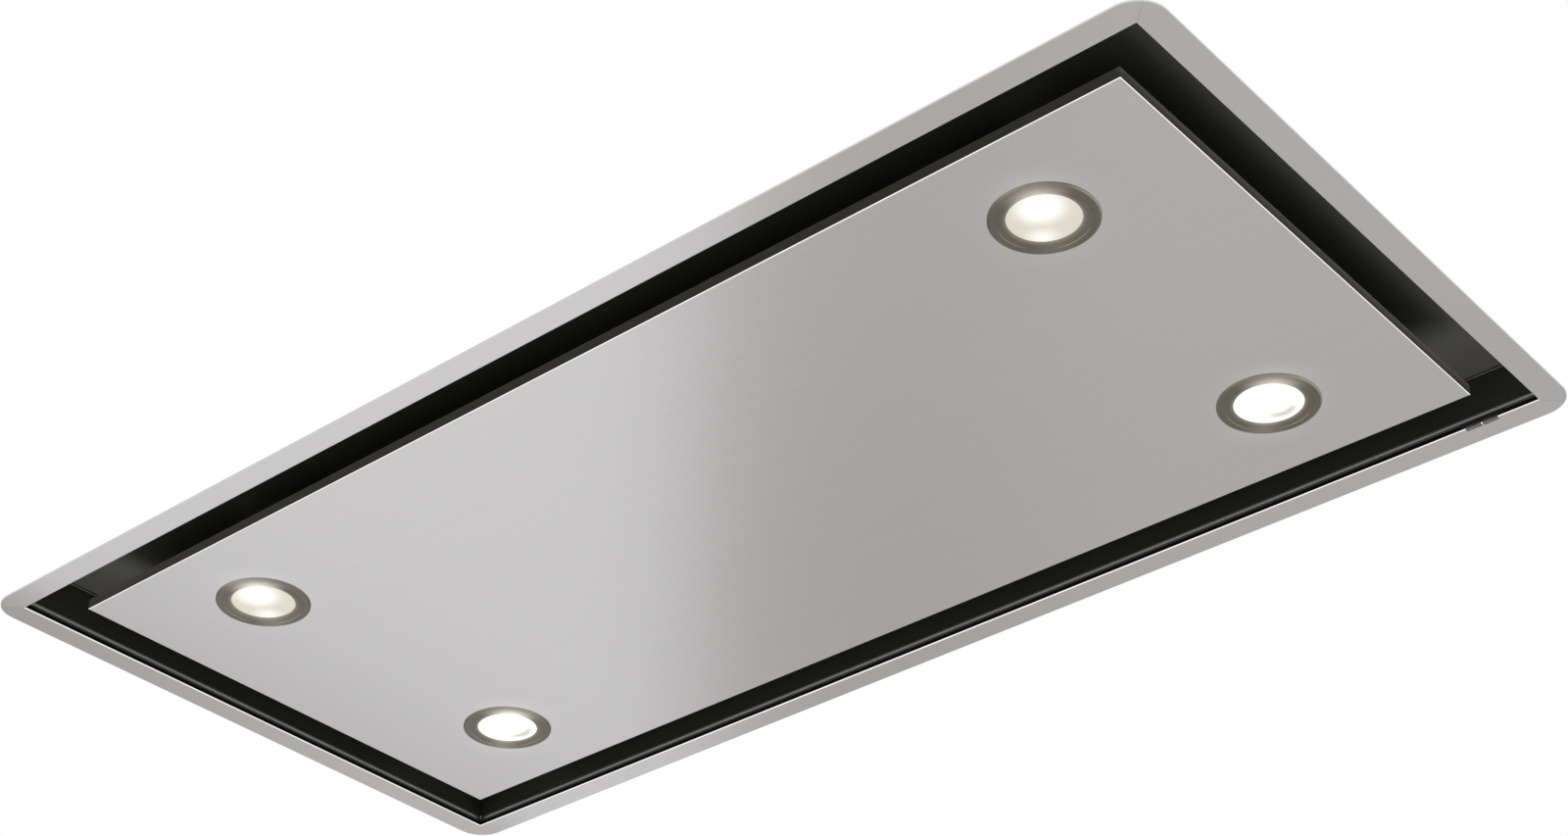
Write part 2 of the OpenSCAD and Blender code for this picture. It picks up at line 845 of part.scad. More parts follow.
// Fixed hinge brackets under the baffle plate, with a cheek on each side of the knuckle
module hinge_brackets() {
    base_h = recess_z - hinge_z;
    base_l = knuckle_l + 2 * (seat_gap + hinge_sheet);
    color("gray") at_hinges() {
        translate([-base_l / 2, -cheek_back, base_h - hinge_sheet]) {
            cube([base_l, cheek_back + cheek_front, hinge_sheet]);
        }
        for (s = [-1, 1]) translate([s * (knuckle_l + hinge_sheet) / 2 + s * seat_gap, 0, 0]) {
            along_x(hinge_sheet) difference() {
                union() {
                    circle(knuckle_r);
                    translate([-cheek_back, 0]) square([cheek_back + cheek_front, base_h]);
                    polygon([[-cheek_back, 0], [0, -knuckle_r], [0, 0]]);
                }
                circle(pin_r + run_gap);
            }
        }
    }
}

module hinge_pins() {
    pin_l = knuckle_l + 2 * (2 * seat_gap + hinge_sheet);
    color("silver") at_hinges() {
        along_x(pin_l) circle(pin_r);
        for (s = [-1, 1]) translate([s * (pin_l + hinge_sheet) / 2, 0, 0]) {
            along_x(hinge_sheet) circle(pin_r * head_share);
        }
    }
}

// Strike plates on the panel's back, pulled by the catch magnets
module strike_plates() {
    color("silver") for (s = [-1, 1]) {
        translate([s * hinge_x, catch_y, inner_z]) rotate([0, 0, 90]) {
            hat(catch_w, catch_l, strike_z - inner_z, catch_l / 4, hinge_sheet);
        }
    }
}

// Magnet cases under the baffle plate
module catch_magnets() {
    case_z = strike_z + catch_gap;
    color("black") for (s = [-1, 1]) translate([s * hinge_x, catch_y, case_z]) {
        block(catch_l, catch_w, recess_z - case_z);
        translate([0, 0, recess_z - case_z - 2 * hinge_sheet]) {
            block(catch_l * flange_share, catch_w, 2 * hinge_sheet);
        }
    }
}

// Filter cassette's frame: a channel rail, two fixed lugs and the latch's slots
module filter_frame(s) {
    inner_h = filter_h - 2 * filter_sheet;
    color("silver") translate([s * filter_x, 0, filter_z]) difference() {
        union() {
            difference() {
                block(filter_l, filter_w, filter_h);
                translate([0, 0, filter_sheet]) {
                    block(filter_l - 2 * filter_sheet, filter_w - 2 * filter_sheet, inner_h);
                }
                translate([0, 0, -over]) {
                    block(filter_l - 2 * rail_w, filter_w - 2 * rail_w, filter_h + 2 * over);
                }
            }
            for (k = [-1, 1]) {
                translate([
                    k * filter_l / 4 - lug_w / 2, filter_w / 2 - filter_sheet / 2, lug_z - filter_z
                ]) {
                    cube([lug_w, filter_sheet / 2 + filter_gap + latch_reach, filter_sheet]);
                }
            }
        }
        translate([0, -filter_w / 2 - over, bolt_z - filter_z - slider_gap]) {
            translate([-bolt_w / 2 - slider_gap, 0, 0]) {
                cube([bolt_w + 2 * slider_gap, over + 2 * filter_sheet, bolt_t + 2 * slider_gap]);
            }
        }
        translate([-grip_w / 2 - slider_gap, grip_y - slider_gap, -over]) {
            cube([
                grip_w + 2 * slider_gap,
                grip_d + latch_travel + 2 * slider_gap,
                over + 2 * filter_sheet
            ]);
        }
    }
}

module filter_frame_left() {
    filter_frame(-1);
}

module filter_frame_right() {
    filter_frame(1);
}

// Filter mesh: a net of diamond openings held in the frame's channel
module filter_mesh(s) {
    net_l = filter_l - 2 * rail_w;
    net_w = filter_w - 2 * rail_w;
    cell = [net_l / mesh_nx, net_w / mesh_ny];
    half = [(cell[0] - strand_w) / 2, (cell[1] - strand_w) / 2];
    net_z = filter_z + filter_sheet + rest_gap;
    color("lightgray") translate([s * filter_x, 0, net_z]) {
        linear_extrude(filter_h - 2 * (filter_sheet + rest_gap)) difference() {
            square([net_l + 2 * mesh_bite, net_w + 2 * mesh_bite], center = true);
            for (i = [0:mesh_nx - 1], j = [0:mesh_ny - 1], k = [0, 1]) {
                x = (i + (k + 1) / 2 - mesh_nx / 2) * cell[0];
                y = (j + (k + 1) / 2 - mesh_ny / 2) * cell[1];
                if (k == 0 || (i < mesh_nx - 1 && j < mesh_ny - 1)) translate([x, y]) {
                    polygon([[-half[0], 0], [0, -half[1]], [half[0], 0], [0, half[1]]]);
                }
            }
        }
    }
}

module filter_mesh_left() {
    filter_mesh(-1);
}

module filter_mesh_right() {
    filter_mesh(1);
}

// Filter latch: a slider in the front rail, with a bolt over the baffle plate and a grip
module filter_latch(s) {
    body_z = filter_z + filter_sheet + slider_gap;
    color([0.2, 0.2, 0.2]) translate([s * filter_x, 0, 0]) {
        translate([-slider_w / 2, slider_y, body_z]) {
            cube([slider_w, slider_d, filter_h - 2 * (filter_sheet + slider_gap)]);
        }
        translate([-bolt_w / 2, -filter_w / 2 - filter_gap - latch_reach, bolt_z]) {
            cube([bolt_w, slider_y + filter_w / 2 + filter_gap + latch_reach + sheet_gap, bolt_t]);
        }
        translate([-grip_w / 2, grip_y, filter_z - grip_h]) {
            cube([grip_w, grip_d, grip_h + filter_sheet + 2 * slider_gap]);
        }
    }
}

module filter_latch_left() {
    filter_latch(-1);
}

module filter_latch_right() {
    filter_latch(1);
}

// Points of the scroll's spiral, from the tongue round to the throat, e further out
function scroll_spiral(e) = [
    for (a = [tongue_angle:scroll_step:360])
        (wheel_r + tongue_gap + e + growth(a)) * [cos(a), sin(a)]
];

// Plan of the scroll and its throat, e outside the air's own outline
module scroll_plan(e, top) {
    tongue = (wheel_r + tongue_gap) * [cos(tongue_angle), sin(tongue_angle)];
    polygon(concat([[0, 0]], scroll_spiral(e)));
    polygon([
        [0, 0], [scroll_max + e, 0], [scroll_max + e, top],
        [scroll_max - throat_w - e, top],
        if (top > scroll_top) [scroll_max - throat_w - e, scroll_top],
        tongue - [e, 0]
    ]);
}

// One half of the scroll, drawn for the right side
module scroll_half() {
    difference() {
        union() {
            rotate([90, 0, 90]) linear_extrude(side_x) scroll_plan(scroll_wall, scroll_top);
            rotate([90, 0, 90]) linear_extrude(rim_t) scroll_plan(scroll_wall + seam_rim, scroll_top);
            translate([0, scroll_max - throat_w - outlet_rim, scroll_top - rim_t]) {
                cube([side_x + outlet_rim, throat_w + 2 * outlet_rim, rim_t]);
            }
        }
        rotate([90, 0, 90]) translate([0, 0, -over]) {
            linear_extrude(scroll_w / 2 + over) scroll_plan(0, scroll_top + over);
        }
        rotate([0, 90, 0]) cylinder(r = inlet_r, h = side_x + over);
    }
    rotate([90, 0, 90]) linear_extrude(side_x) {
        translate((wheel_r + tongue_gap) * [cos(tongue_angle), sin(tongue_angle)]) {
            circle(scroll_wall);
        }
    }
    rotate([0, 90, 0]) rotate_extrude() translate([inlet_r + bell_r, side_x - scroll_wall]) {
        intersection() {
            difference() {
                circle(bell_r);
                circle(bell_r - scroll_wall);
            }
            translate([-bell_r, 0]) square(bell_r);
        }
    }
}

module scroll_left() {
    color([0.25, 0.25, 0.26]) translate([0, blower_y, blower_z]) mirror([1, 0, 0]) scroll_half();
}

module scroll_right() {
    color([0.25, 0.25, 0.26]) translate([0, blower_y, blower_z]) scroll_half();
}

// Centre line of a blade at share t of its way out
function blade_point(t, side) =
    let (
        r = blade_in_r + t * (wheel_r - blade_in_r),
        a = blade_sweep * t * t + side * 90 / PI * blade_t / r
    )
    r * [cos(a), sin(a)];

// Blower wheel: two rows of forward-curved blades on a centre disc, with end rings
module blower_wheel() {
    steps = [0:0.25:1];
    row_w = wheel_w / 2;
    color([0.2, 0.2, 0.21]) translate([0, blower_y, blower_z]) rotate([90, 0, 90]) {
        difference() {
            union() {
                linear_extrude(wheel_w, center = true) for (i = [0:blade_count - 1]) {
                    rotate(360 * i / blade_count) polygon(concat(
                        [for (t = steps) blade_point(t, 1)],
                        [for (t = steps) blade_point(1 - t, -1)]
                    ));
                }
                linear_extrude(disc_t, center = true) circle(wheel_r - blade_t);
                linear_extrude(hub_l, center = true) circle(hub_r);
                for (s = [-1, 1]) translate([0, 0, s * (row_w - disc_t / 2)]) {
                    linear_extrude(disc_t, center = true) difference() {
                        circle(wheel_r + disc_t / 2);
                        circle(blade_in_r + disc_t);
                    }
                }
            }
            linear_extrude(hub_l + over, center = true) circle(shaft_r + run_gap);
        }
    }
}

module motor_shaft() {
    shaft_l = hub_l / 2 + motor_x + motor_l + 2 * seat_gap;
    color("silver") translate([-hub_l / 2 - seat_gap, blower_y, blower_z]) {
        rotate([0, 90, 0]) cylinder(r = shaft_r, h = shaft_l);
    }
}

// Motor: a drum with stepped end caps and a through bore for its shaft
module motor() {
    cap = motor_r * motor_cap_share;
    color([0.55, 0.56, 0.58]) translate([motor_x, blower_y, blower_z]) {
        rotate([0, 90, 0]) rotate_extrude() polygon([
            [shaft_r + run_gap, 0], [hub_r, 0], [hub_r, cap / 2],
            [motor_r - cap, cap / 2], [motor_r, cap],
            [motor_r, motor_l - cap], [motor_r - cap, motor_l - cap / 2],
            [hub_r, motor_l - cap / 2], [hub_r, motor_l], [shaft_r + run_gap, motor_l]
        ]);
    }
}

// Motor bracket: a ring on the motor's end cap and three bent arms to the scroll's side
module motor_bracket() {
    face_x = motor_x + motor_l - motor_r * motor_cap_share / 2;
    foot_r = inlet_r + bell_r + scroll_wall / 2 + seat_gap;
    color("gray") translate([0, blower_y, blower_z]) {
        difference() {
            union() {
                translate([face_x, 0, 0]) rotate([0, 90, 0]) cylinder(r = 2 * hub_r, h = arm_t);
                for (a = [90, 210, 330]) rotate([a, 0, 0]) {
                    translate([face_x, hub_r, -arm_w / 2]) {
                        cube([arm_t, foot_r + arm_t - hub_r, arm_w]);
                    }
                    translate([side_x, foot_r, -arm_w / 2]) {
                        cube([face_x + arm_t - side_x, arm_t, arm_w]);
                        cube([arm_t, arm_t + arm_w / 2, arm_w]);
                    }
                }
            }
            rotate([0, 90, 0]) cylinder(r = hub_r + rest_gap, h = face_x + arm_t + over);
        }
    }
}

// Run capacitor under the housing's top, on its saddle
module run_capacitor() {
    saddle_l = capacitor_l / 4;
    place = [side_x + capacitor_out, open_w / 2 - capacitor_in, housing_h];
    color([0.85, 0.85, 0.85]) translate(place) {
        translate([0, 0, -capacitor_r - seat_gap]) along_x(capacitor_l) circle(capacitor_r);
        translate([0, 0, -capacitor_r]) block(saddle_l, capacitor_r * 2, capacitor_r);
    }
}

// Duct spigot with its base flange and the flaps' seat
module outlet_spigot() {
    color([0.3, 0.3, 0.3]) difference() {
        translate([0, 0, top_z]) rotate_extrude() polygon([
            [bore_r, 0], [base_r, 0], [base_r, spigot_wall], [spigot_r, spigot_wall],
            [spigot_r, spigot_h], [bore_r, spigot_h],
            [bore_r, seat_h], [bore_r - seat_w, seat_h],
            [bore_r - seat_w, seat_h - spigot_wall], [bore_r, seat_h - spigot_wall - seat_w]
        ]);
        translate([0, 0, flap_pin_z]) along_x(2 * (spigot_r + over)) circle(flap_pin_r + run_gap);
    }
}

// One non-return flap, drawn for the rear half; shift sets where its knuckles lie
module flap(shift) {
    own = [for (s = [-1, 1]) s * flap_knuckle_l * 1.5 + shift];
    other = [for (s = [-1, 1]) s * flap_knuckle_l * 1.5 - shift];
    color([0.35, 0.35, 0.35]) difference() {
        union() {
            translate([0, 0, flap_z]) intersection() {
                cylinder(r = flap_r, h = flap_t);
                translate([-flap_r, flap_split, 0]) cube([2 * flap_r, flap_r, flap_t]);
            }
            for (x = own) translate([x, 0, 0]) {
                translate([0, 0, flap_pin_z]) along_x(flap_knuckle_l) circle(flap_knuckle_r);
                translate([-flap_knuckle_l / 2, flap_split, flap_z]) {
                    cube([flap_knuckle_l, flap_knuckle_r - flap_split, flap_pin_z - flap_z]);
                }
            }
        }
        for (x = other) translate([x, 0, flap_z - over]) {
            block(
                flap_knuckle_l + 2 * seat_gap,
                2 * (flap_knuckle_r + 3 * seat_gap),
                over + flap_t + seat_gap
            );
        }
        translate([0, 0, flap_pin_z]) along_x(2 * flap_r) circle(flap_pin_r + run_gap);
    }
}

module flap_front() {
    rotate([0, 0, 180]) flap(flap_knuckle_l * flap_shift_share);
}

module flap_rear() {
    flap(flap_knuckle_l * flap_shift_share);
}

module flap_pin() {
    color("silver") translate([0, 0, flap_pin_z]) along_x(2 * spigot_r) circle(flap_pin_r);
}

// Control box under the housing's top, open below and closed by its lid
module control_box() {
    color([0.8, 0.8, 0.78]) translate([-control_x, 0, housing_h - control_d]) difference() {
        block(control_l, control_w, control_d);
        translate([0, 0, -over]) {
            block(
                control_l - 2 * control_wall,
                control_w - 2 * control_wall,
                over + control_d - control_wall
            );
        }
        cylinder(r = gland_r + rest_gap, h = control_d + over);
    }
}

module control_lid() {
    lip_l = control_l - 2 * (control_wall + rest_gap);
    lip_w = control_w - 2 * (control_wall + rest_gap);
    color([0.8, 0.8, 0.78]) translate([-control_x, 0, housing_h - control_d]) {
        translate([0, 0, -control_wall]) block(control_l, control_w, control_wall);
        difference() {
            block(lip_l, lip_w, 2 * control_wall);
            block(lip_l - 2 * control_wall, lip_w - 2 * control_wall, 3 * control_wall);
        }
    }
}

// Terminal block on the control box's ceiling, one barrel and screw hole per pole
module terminal_block() {
    body_h = terminal_l;
    screw_r = pole_w / 4;
    color([0.9, 0.9, 0.86]) translate([
        -control_x, -control_w / 4 - pole_count * pole_w / 2,
        housing_h - control_wall - body_h
    ]) {
        for (i = [0:pole_count - 1]) translate([0, i * pole_w, 0]) difference() {
            translate([-terminal_l / 2, pole_gap / 2, 0]) {
                cube([terminal_l, pole_w - pole_gap, body_h]);
            }
            translate([0, pole_w / 2, -over]) cylinder(r = screw_r, h = body_h / 2 + over);
        }
        translate([-terminal_l / 4, 0, body_h * 3 / 4]) {
            cube([terminal_l / 2, pole_count * pole_w, body_h / 4]);
        }
    }
}

// Lamp driver under the housing's top, with an ear at each end
module lamp_driver() {
    color([0.93, 0.93, 0.93]) translate([control_x - control_l / 2, 0, housing_h - driver_h]) {
        block(driver_l, driver_w, driver_h);
        translate([0, 0, driver_h - hanger_sheet]) {
            block(driver_l * flange_share, driver_w / 2, hanger_sheet);
        }
    }
}

// Cable gland: a threaded tail with its nut inside the control box, and a dome nut outside
module cable_gland() {
    nut_h = gland_h / 4;
    tail_l = housing_sheet + control_wall + 2 * nut_h;
    color([0.16, 0.16, 0.17]) translate([-control_x, 0, top_z]) difference() {
        union() {
            cylinder(r = gland_r * nut_share, h = nut_h, $fn = 6);
            cylinder(r = gland_r * dome_share, h = gland_h - nut_h);
            translate([0, 0, gland_h - nut_h]) {
                cylinder(r1 = gland_r * dome_share, r2 = gland_r * tip_share, h = nut_h);
            }
            translate([0, 0, -tail_l]) cylinder(r = gland_r, h = tail_l + sheet_gap);
            translate([0, 0, -housing_sheet - control_wall - nut_h]) {
                cylinder(r = gland_r * nut_share, h = nut_h, $fn = 6);
            }
        }
        translate([0, 0, -tail_l - over]) cylinder(r = gland_bore_r, h = tail_l + gland_h + 2 * over);
    }
}

trim_front();
trim_rear();
trim_left();
trim_right();
trim_seal();
collar_front();
collar_rear();
collar_left();
collar_right();
baffle_plate();
housing_front();
housing_rear();
housing_left();
housing_right();
housing_top();
hanger_brackets();
receiver_holder();
receiver_windows();
panel_tray();
panel_stiffeners();
hinge_leaves();
strike_plates();
light_bezel(1);  // light_bezel_1
light_bezel(2);  // light_bezel_2
light_bezel(3);  // light_bezel_3
light_bezel(4);  // light_bezel_4
light_lens(1);  // light_lens_1
light_lens(2);  // light_lens_2
light_lens(3);  // light_lens_3
light_lens(4);  // light_lens_4
light_body(1);  // light_body_1
light_body(2);  // light_body_2
light_body(3);  // light_body_3
light_body(4);  // light_body_4
hinge_brackets();
hinge_pins();
catch_magnets();
filter_frame_left();
filter_frame_right();
filter_mesh_left();
filter_mesh_right();
filter_latch_left();
filter_latch_right();
scroll_left();
scroll_right();
blower_wheel();
motor_shaft();
motor();
motor_bracket();
run_capacitor();
outlet_spigot();
flap_front();
flap_rear();
flap_pin();
control_box();
control_lid();
terminal_block();
lamp_driver();
cable_gland();
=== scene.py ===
"""Dresses the recessed range hood: finishes, fasteners, filter nets, ceiling, light and camera."""
import json
import math
import random
from collections import namedtuple

import bpy
from mathutils import Matrix, Vector


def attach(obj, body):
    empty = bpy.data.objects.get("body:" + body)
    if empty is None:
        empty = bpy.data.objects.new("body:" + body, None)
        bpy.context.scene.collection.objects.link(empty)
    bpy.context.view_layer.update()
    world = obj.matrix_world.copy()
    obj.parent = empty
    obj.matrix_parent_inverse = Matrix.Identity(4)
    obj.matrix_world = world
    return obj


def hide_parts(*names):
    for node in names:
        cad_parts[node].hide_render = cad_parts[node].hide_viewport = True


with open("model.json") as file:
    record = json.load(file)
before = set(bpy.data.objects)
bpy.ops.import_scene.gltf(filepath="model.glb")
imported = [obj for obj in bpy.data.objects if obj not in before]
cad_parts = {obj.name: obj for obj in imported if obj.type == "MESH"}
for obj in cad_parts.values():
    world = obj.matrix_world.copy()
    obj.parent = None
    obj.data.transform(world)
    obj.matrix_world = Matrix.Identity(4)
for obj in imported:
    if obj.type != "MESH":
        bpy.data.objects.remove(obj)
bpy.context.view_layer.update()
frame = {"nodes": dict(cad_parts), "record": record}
nodes = frame["nodes"]
rng = random.Random(7)

MM = 0.001
TO_DEGREES = 180 / math.pi
QUARTER_TURN, HALF_TURN, FULL_TURN = math.pi / 2, math.pi, 2 * math.pi

# Node graphs

# Sockets of a Mix node that mixes colours
MIX_FIRST, MIX_SECOND, MIX_RESULT = 6, 7, 2
# The span of a noise over which brightness changes, and gloss
TINT_SPAN, GLOSS_SPAN = (0.25, 0.75), (0.3, 0.7)


class Graph:
    """Wires nodes into one tree; its helpers take plain values or sockets."""

    def __init__(self, tree):
        self.tree = tree
        tree.nodes.clear()

    def node(self, kind, inputs=None, **settings):
        """A new node; its inputs go by name or number."""
        made = self.tree.nodes.new(kind)
        for key, value in settings.items():
            setattr(made, key, value)
        for key, value in (inputs or {}).items():
            self.put(made.inputs[key], value)
        return made

    def put(self, socket, value):
        """Links a socket to a socket, or sets it to a plain value."""
        if isinstance(value, bpy.types.NodeSocket):
            self.tree.links.new(value, socket)
        else:
            socket.default_value = value

    def math(self, operation, a, b=0.0):
        return self.node("ShaderNodeMath", {0: a, 1: b}, operation=operation).outputs[0]

    def add(self, a, b):
        return self.math("ADD", a, b)

    def less(self, a, b):
        return self.math("SUBTRACT", a, b)

    def times(self, a, b):
        return self.math("MULTIPLY", a, b)

    def most(self, a, b):
        return self.math("MAXIMUM", a, b)

    def distance(self, x, y):
        """Length of a flat vector."""
        return self.math("SQRT", self.add(self.times(x, x), self.times(y, y)))

    def bearing(self, x, y):
        """Degrees from +X to a flat vector."""
        return self.times(self.math("ARCTAN2", y, x), TO_DEGREES)

    def apart(self, bearing, centre):
        """Degrees between two bearings, the short way round."""
        wrapped = self.node("ShaderNodeMath", {0: self.less(bearing, centre), 1: 180.0, 2: -180.0},
                            operation="WRAP")
        return self.math("ABSOLUTE", wrapped.outputs[0])

    def split(self, vector):
        return self.node("ShaderNodeSeparateXYZ", {0: vector}).outputs

    def join(self, x, y, z):
        return self.node("ShaderNodeCombineXYZ", {0: x, 1: y, 2: z}).outputs[0]

    def vector(self, operation, a, b=(0.0, 0.0, 0.0)):
        return self.node("ShaderNodeVectorMath", {0: a, 1: b}, operation=operation).outputs[0]

    def scaled(self, vector, factor):
        """A vector or colour times a number."""
        return self.node("ShaderNodeVectorMath", {0: vector, "Scale": factor},
                         operation="SCALE").outputs[0]

    def mix(self, share, first, second):
        """The first colour at a share of nought, the second at a share of one."""
        made = self.node("ShaderNodeMix", {0: share}, data_type="RGBA")
        for socket, colour in ((MIX_FIRST, first), (MIX_SECOND, second)):
            self.put(made.inputs[socket], (*colour, 1.0) if isinstance(colour, tuple) else colour)
        return made.outputs[MIX_RESULT]

    def ramp(self, value, low, high, start, end):
        """A soft step from start to end as the value goes from low to high."""
        made = self.node("ShaderNodeMapRange", interpolation_type="SMOOTHSTEP")
        for socket, number in enumerate((value, low, high, start, end)):
            self.put(made.inputs[socket], number)
        return made.outputs[0]

    def rising(self, value, low, high):
        return self.ramp(value, low, high, 0.0, 1.0)

    def falling(self, value, low, high):
        return self.ramp(value, low, high, 1.0, 0.0)

    def bell(self, value, centre, half):
        """One at the centre, falling softly to nothing at half the bell's width."""
        return self.falling(self.math("ABSOLUTE", self.less(value, centre)), 0.0, half)


class Finish(Graph):
    """A node material with one Principled shader on Object coordinates."""

    def __init__(self, name):
        self.material = bpy.data.materials.new(name)
        self.material.use_nodes = True
        super().__init__(self.material.node_tree)
        self.output = self.node("ShaderNodeOutputMaterial")
        self.bsdf = self.node("ShaderNodeBsdfPrincipled")
        self.put(self.output.inputs["Surface"], self.bsdf.outputs[0])
        self.position = self.node("ShaderNodeTexCoord").outputs["Object"]

    def set(self, **values):
        """Sets the shader's inputs; an underscore stands for a space in their names."""
        for key, value in values.items():
            self.put(self.bsdf.inputs[key.replace("_", " ")], value)

    def noise(self, vector, scale, detail=2.0, rough=0.5):
        return self.node("ShaderNodeTexNoise", {
            "Vector": vector, "Scale": scale, "Detail": detail, "Roughness": rough}).outputs["Fac"]

    def stretched(self, scales, detail=2.0, rough=0.5):
        """Noise that is drawn out along the axis with the smallest scale."""
        return self.noise(self.vector("MULTIPLY", self.position, scales), 1.0, detail, rough)

    def tint(self, colour, pattern, depth):
        """A colour whose brightness varies with a pattern, by a share of depth either way."""
        return self.scaled(colour, self.ramp(pattern, *TINT_SPAN, 1.0 - depth, 1.0 + depth))

    def uneven(self, pattern, mean, spread):
        """A roughness that varies with a pattern, by a spread either way."""
        return self.ramp(pattern, *GLOSS_SPAN, mean - spread, mean + spread)

    def bump(self, height, distance, strength):
        self.relief = self.node("ShaderNodeBump", {
            "Height": height, "Distance": distance, "Strength": strength})
        self.put(self.bsdf.inputs["Normal"], self.relief.outputs[0])

    def turned(self, operation, change):
        """Turns the surface's own normal, under the bump, by adding or multiplying a vector."""
        normal = self.node("ShaderNodeNewGeometry").outputs["Normal"]
        changed = self.vector(operation, normal, change)
        self.put(self.relief.inputs["Normal"], self.vector("NORMALIZE", changed))


finishes = {}


def finish(name):
    """A new finish, kept under the name of its material slot."""
    finishes[name] = Finish(name)
    return finishes[name]


def grey(level):
    return (level, level, level)


# Brushed steel

STEEL, PAINTED_WARM_STEEL = (0.636, 0.622, 0.609), (0.65, 0.62, 0.52)
FACE_ROUGH, BACK_ROUGH = 0.1, 0.36
# Heights at which the face ends and the duller back begins
FACE_TOP, BACK_LOW = 1.5 * MM, 2.1 * MM
# The folded edge: middle and half height of its warm band, a painted warm reflection, and the heights over
# which painted light brightens it
FOLD_MID, FOLD_HALF = 5.6 * MM, 3.3 * MM
SKIRT_LIGHT_LOW, SKIRT_LIGHT_HIGH = 3.0 * MM, 9.0 * MM
# How bright the painted light makes it, the same at its right end, and where along X the one turns into the
# other
SKIRT_PAINTED_GAIN, RIGHT_SKIRT_PAINTED_GAIN, RIGHT_SKIRT_LIGHT_X = 1.15, 1.6, (0.446, 0.449)
# The strokes of the brush and the broader bands under them: scales across and along, and share
STROKE_ACROSS, STROKE_ALONG, STROKE_SHARE = 2600.0, 6.0, 0.75
BAND_ACROSS, BAND_ALONG, BAND_SHARE = 420.0, 1.5, 0.25
# How much duller a raised stroke is than a deep one
STROKE_GLOSS = 0.05
# The stretch at the left end of a rail over which its lean changes
LEFT_END_X = (-0.5, -0.42)


def brushed(name, along, gain, lean, end_lean):
    """Satin steel, brushed along one axis; the folded edge and the back are duller, the edge with painted
    warm light.

    Gain scales the brightness of the face. The face leans a little along X and Y, and along X by
    end_lean at the rail's left end, because each rail is bent and mirrors the room its own way.
    """
    s = finish(name)

    def drawn(across, run):
        return (run, across, across) if along == "X" else (across, run, across)

    strokes = s.stretched(drawn(STROKE_ACROSS, STROKE_ALONG), detail=3.0, rough=0.6)
    bands = s.stretched(drawn(BAND_ACROSS, BAND_ALONG))
    both = s.add(s.times(strokes, STROKE_SHARE), s.times(bands, BAND_SHARE))
    x, _, height = s.split(s.position)
    # Painted light: a warm reflection on the folded edge, and a brightening up the skirt, strongest at the
    # panel's right end
    painted_warm_fold = s.mix(s.bell(height, FOLD_MID, FOLD_HALF), STEEL, PAINTED_WARM_STEEL)
    painted_skirt_gain = s.ramp(x, *RIGHT_SKIRT_LIGHT_X, SKIRT_PAINTED_GAIN, RIGHT_SKIRT_PAINTED_GAIN)
    lit = s.scaled(painted_warm_fold, s.ramp(height, SKIRT_LIGHT_LOW, SKIRT_LIGHT_HIGH, gain, painted_skirt_gain))
    rough = s.ramp(height, FACE_TOP, BACK_LOW, FACE_ROUGH, BACK_ROUGH)
    s.set(Base_Color=s.tint(lit, both, depth=0.02), Metallic=1.0,
          Roughness=s.add(rough, s.times(strokes, STROKE_GLOSS)))
    s.bump(both, distance=0.02 * MM, strength=0.25)
    s.turned("ADD", s.join(s.ramp(x, *LEFT_END_X, end_lean, lean[0]), lean[1], 0.0))


brushed("panel_steel", "X", gain=1.014, lean=(0.0, 0.0), end_lean=0.0)
brushed("trim_steel_x", "X", gain=1.0, lean=(0.006, -0.02), end_lean=-0.026)
brushed("trim_steel_y", "Y", gain=1.0, lean=(-0.026, 0.0), end_lean=-0.026)

# Other metals

# Colour and roughness of the plain ones
METALS = {
    "hardware_steel": ((0.55, 0.54, 0.52), 0.32),
    "heat_sink": ((0.62, 0.62, 0.63), 0.42),
    "filter_aluminium": ((0.68, 0.69, 0.7), 0.36),
    "filter_net": ((0.64, 0.65, 0.66), 0.34),
    "motor_grey": ((0.46, 0.47, 0.48), 0.42),
    "capacitor_white": ((0.72, 0.72, 0.71), 0.35),
}
# Scales of their patterns
METAL_GRAIN, METAL_CLOUDS, CRYSTALS, FROST = 500.0, 60.0, 95.0, 700.0


def bare_metal(name, colour, rough):
    """Plain metal, slightly clouded and finely grained."""
    s = finish(name)
    grain = s.noise(s.position, METAL_GRAIN, detail=3.0)
    s.set(Base_Color=s.tint(colour, s.noise(s.position, METAL_CLOUDS), depth=0.07), Metallic=1.0,
          Roughness=s.uneven(grain, rough, spread=0.05))
    s.bump(grain, distance=0.02 * MM, strength=0.3)


def galvanised_steel():
    """Galvanised sheet: crystals of slightly different brightness and gloss."""
    s = finish("galvanised_steel")
    crystals = s.node("ShaderNodeTexVoronoi", {"Vector": s.position, "Scale": CRYSTALS})
    tone = s.split(crystals.outputs["Color"])[0]
    frost = s.noise(s.position, FROST, detail=3.0)
    dullness = s.add(s.times(tone, 0.7), s.times(frost, 0.3))
    s.set(Base_Color=s.tint((0.6, 0.61, 0.62), tone, depth=0.07), Metallic=0.9,
          Roughness=s.ramp(dullness, low=0.1, high=0.9, start=0.3, end=0.5))
    s.bump(frost, distance=0.03 * MM, strength=0.3)


for name, (colour, rough) in METALS.items():
    bare_metal(name, colour, rough)
galvanised_steel()

# Coats and plastics

